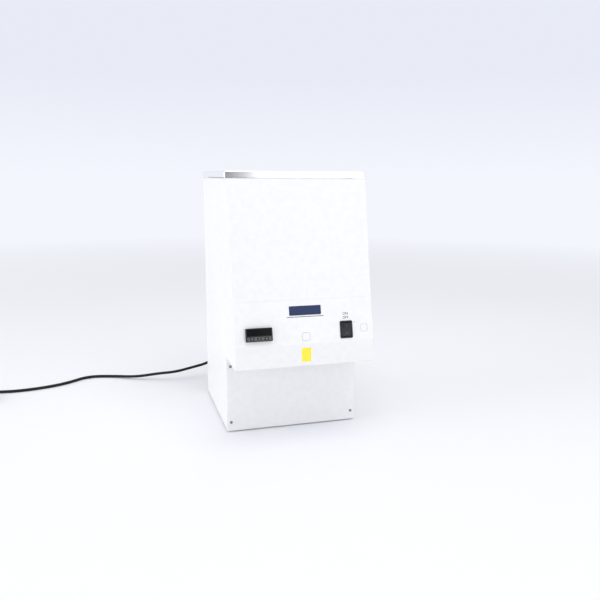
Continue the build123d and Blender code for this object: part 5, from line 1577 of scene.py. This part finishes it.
@dataclass
class Studio:
    """The pale floor, the even world light, the lamps and a dark card."""

    floor_colour: Triple = (0.880, 0.890, 0.925)
    horizon_colour: Triple = (0.900, 0.920, 0.985)
    sky_colour: Triple = (0.810, 0.835, 0.925)
    light_colour: Triple = (0.985, 0.988, 1.0)
    sky_rise: float = 0.14
    ambient: float = 0.80
    radius: float = 60.0
    facets: int = 96
    fade: Pair = (1.5, 4.0)
    lamps: tuple[Lamp, ...] = (
        Lamp("top_lamp", (0.1, -0.9, 2.5), 1.8, 18.0),
        Lamp("left_lamp", (-4.5, -0.3, 0.9), 2.6, 76.0),
        Lamp("front_lamp", (1.25, -3.0, 0.7), 1.7, 11.0),
    )
    card_middle: Triple = (-0.16, -1.20, 0.50)
    card_size: Pair = (0.68, 0.36)
    card_shade: Pair = (0.16, 0.33)
    card_greys: Pair = (0.04, 0.9)

    def build(self) -> None:
        """Set the stage, the light and the plain view transform."""
        floor_shape = bmesh.new()
        bmesh.ops.create_circle(floor_shape, cap_ends=True, segments=self.facets, radius=self.radius)
        self.staged("studio_floor", floor_shape).data.materials.append(self.floor_paper())
        card_shape = bmesh.new()
        width, height = (size / 2 for size in self.card_size)
        corners = ((-width, -height), (width, -height), (width, height), (-width, height))
        card_shape.faces.new([card_shape.verts.new((x, 0, z)) for x, z in corners])
        card = self.staged("dark_card", card_shape)
        card.data.materials.append(self.card_paper())
        card.location = self.card_middle
        # Reflection-only card: it casts no shade and shows nowhere but as the dark reflection, black on the
        # left fading to white, along the polished lid's front edge.
        for ray in ("camera", "diffuse", "transmission", "shadow", "volume_scatter"):
            setattr(card, f"visible_{ray}", False)
        self.world()
        for lamp in self.lamps:
            lamp.build()
        bpy.context.scene.view_settings.view_transform = "Standard"

    @staticmethod
    def staged(name: str, shape: BMesh) -> Object:
        """Put a piece of the stage in the scene.

        Args:
            name: the object's name.
            shape: its mesh, which is freed.

        Returns:
            The object.
        """
        piece = added(name, meshed(name, shape))
        return piece

    def floor_paper(self) -> Material:
        """Return pale paper that fades into the horizon's colour."""
        material = bpy.data.materials.new("floor_paper")
        graph = cleared(material)
        place = graph.add("ShaderNodeTexCoord").outputs["Object"]
        reach = graph.add("ShaderNodeVectorMath", {"operation": "LENGTH"}, Vector=place).outputs["Value"]
        near = graph.add("ShaderNodeBsdfDiffuse", Color=(*self.floor_colour, 1.0))
        far = graph.add("ShaderNodeEmission", Color=(*self.horizon_colour, 1.0))
        blend = graph.blended(graph.ranged(reach, self.fade), near, far)
        graph.add("ShaderNodeOutputMaterial", Surface=blend)
        return material

    def card_paper(self) -> Material:
        """Return card that runs from black on the left to white."""
        material = bpy.data.materials.new("card_paper")
        graph = cleared(material)
        across = graph.axis(graph.add("ShaderNodeTexCoord").outputs["Object"], "X")
        dark, light = ((grey, grey, grey, 1.0) for grey in self.card_greys)
        shade = graph.mixed(graph.ranged(across, self.card_shade), dark, light)
        shader = graph.add("ShaderNodeBsdfDiffuse", Color=shade)
        graph.add("ShaderNodeOutputMaterial", Surface=shader.outputs["BSDF"])
        return material

    def world(self) -> None:
        """Build the even light, and the pale sky that the camera sees."""
        world = bpy.data.worlds.new("studio_world")
        bpy.context.scene.world = world
        graph = cleared(world)
        path = graph.add("ShaderNodeLightPath").outputs
        seen = graph.math("MAXIMUM", path["Is Camera Ray"], path["Is Glossy Ray"])
        seen = graph.math("MAXIMUM", seen, path["Is Transmission Ray"])
        rise = graph.axis(graph.add("ShaderNodeTexCoord").outputs["Generated"], "Z")
        height = graph.ranged(rise, (0.0, self.sky_rise))
        colour = graph.mixed(height, (*self.horizon_colour, 1.0), (*self.sky_colour, 1.0))
        lit = graph.add("ShaderNodeBackground", Color=(*self.light_colour, 1.0), Strength=self.ambient)
        sky = graph.add("ShaderNodeBackground", Color=colour, Strength=1.0)
        graph.add("ShaderNodeOutputWorld", Surface=graph.blended(seen, lit, sky))


def main() -> None:
    """Build the dispenser's looks, piece by piece."""
    logging.basicConfig(level=logging.INFO, format="%(name)s: %(message)s")
    wardrobe = Wardrobe()
    face = ControlFace(wardrobe)
    makers = (
        Viewpoint(), MainsFlex(wardrobe), Cabinet(wardrobe), Controls(wardrobe, face), face, Lid(wardrobe),
        InnerParts(wardrobe), Studio(),
    )
    for maker in makers:
        maker.build()
        LOG.info("%s is done", type(maker).__name__)
    bpy.context.view_layer.update()


if __name__ == "__main__":
    main()
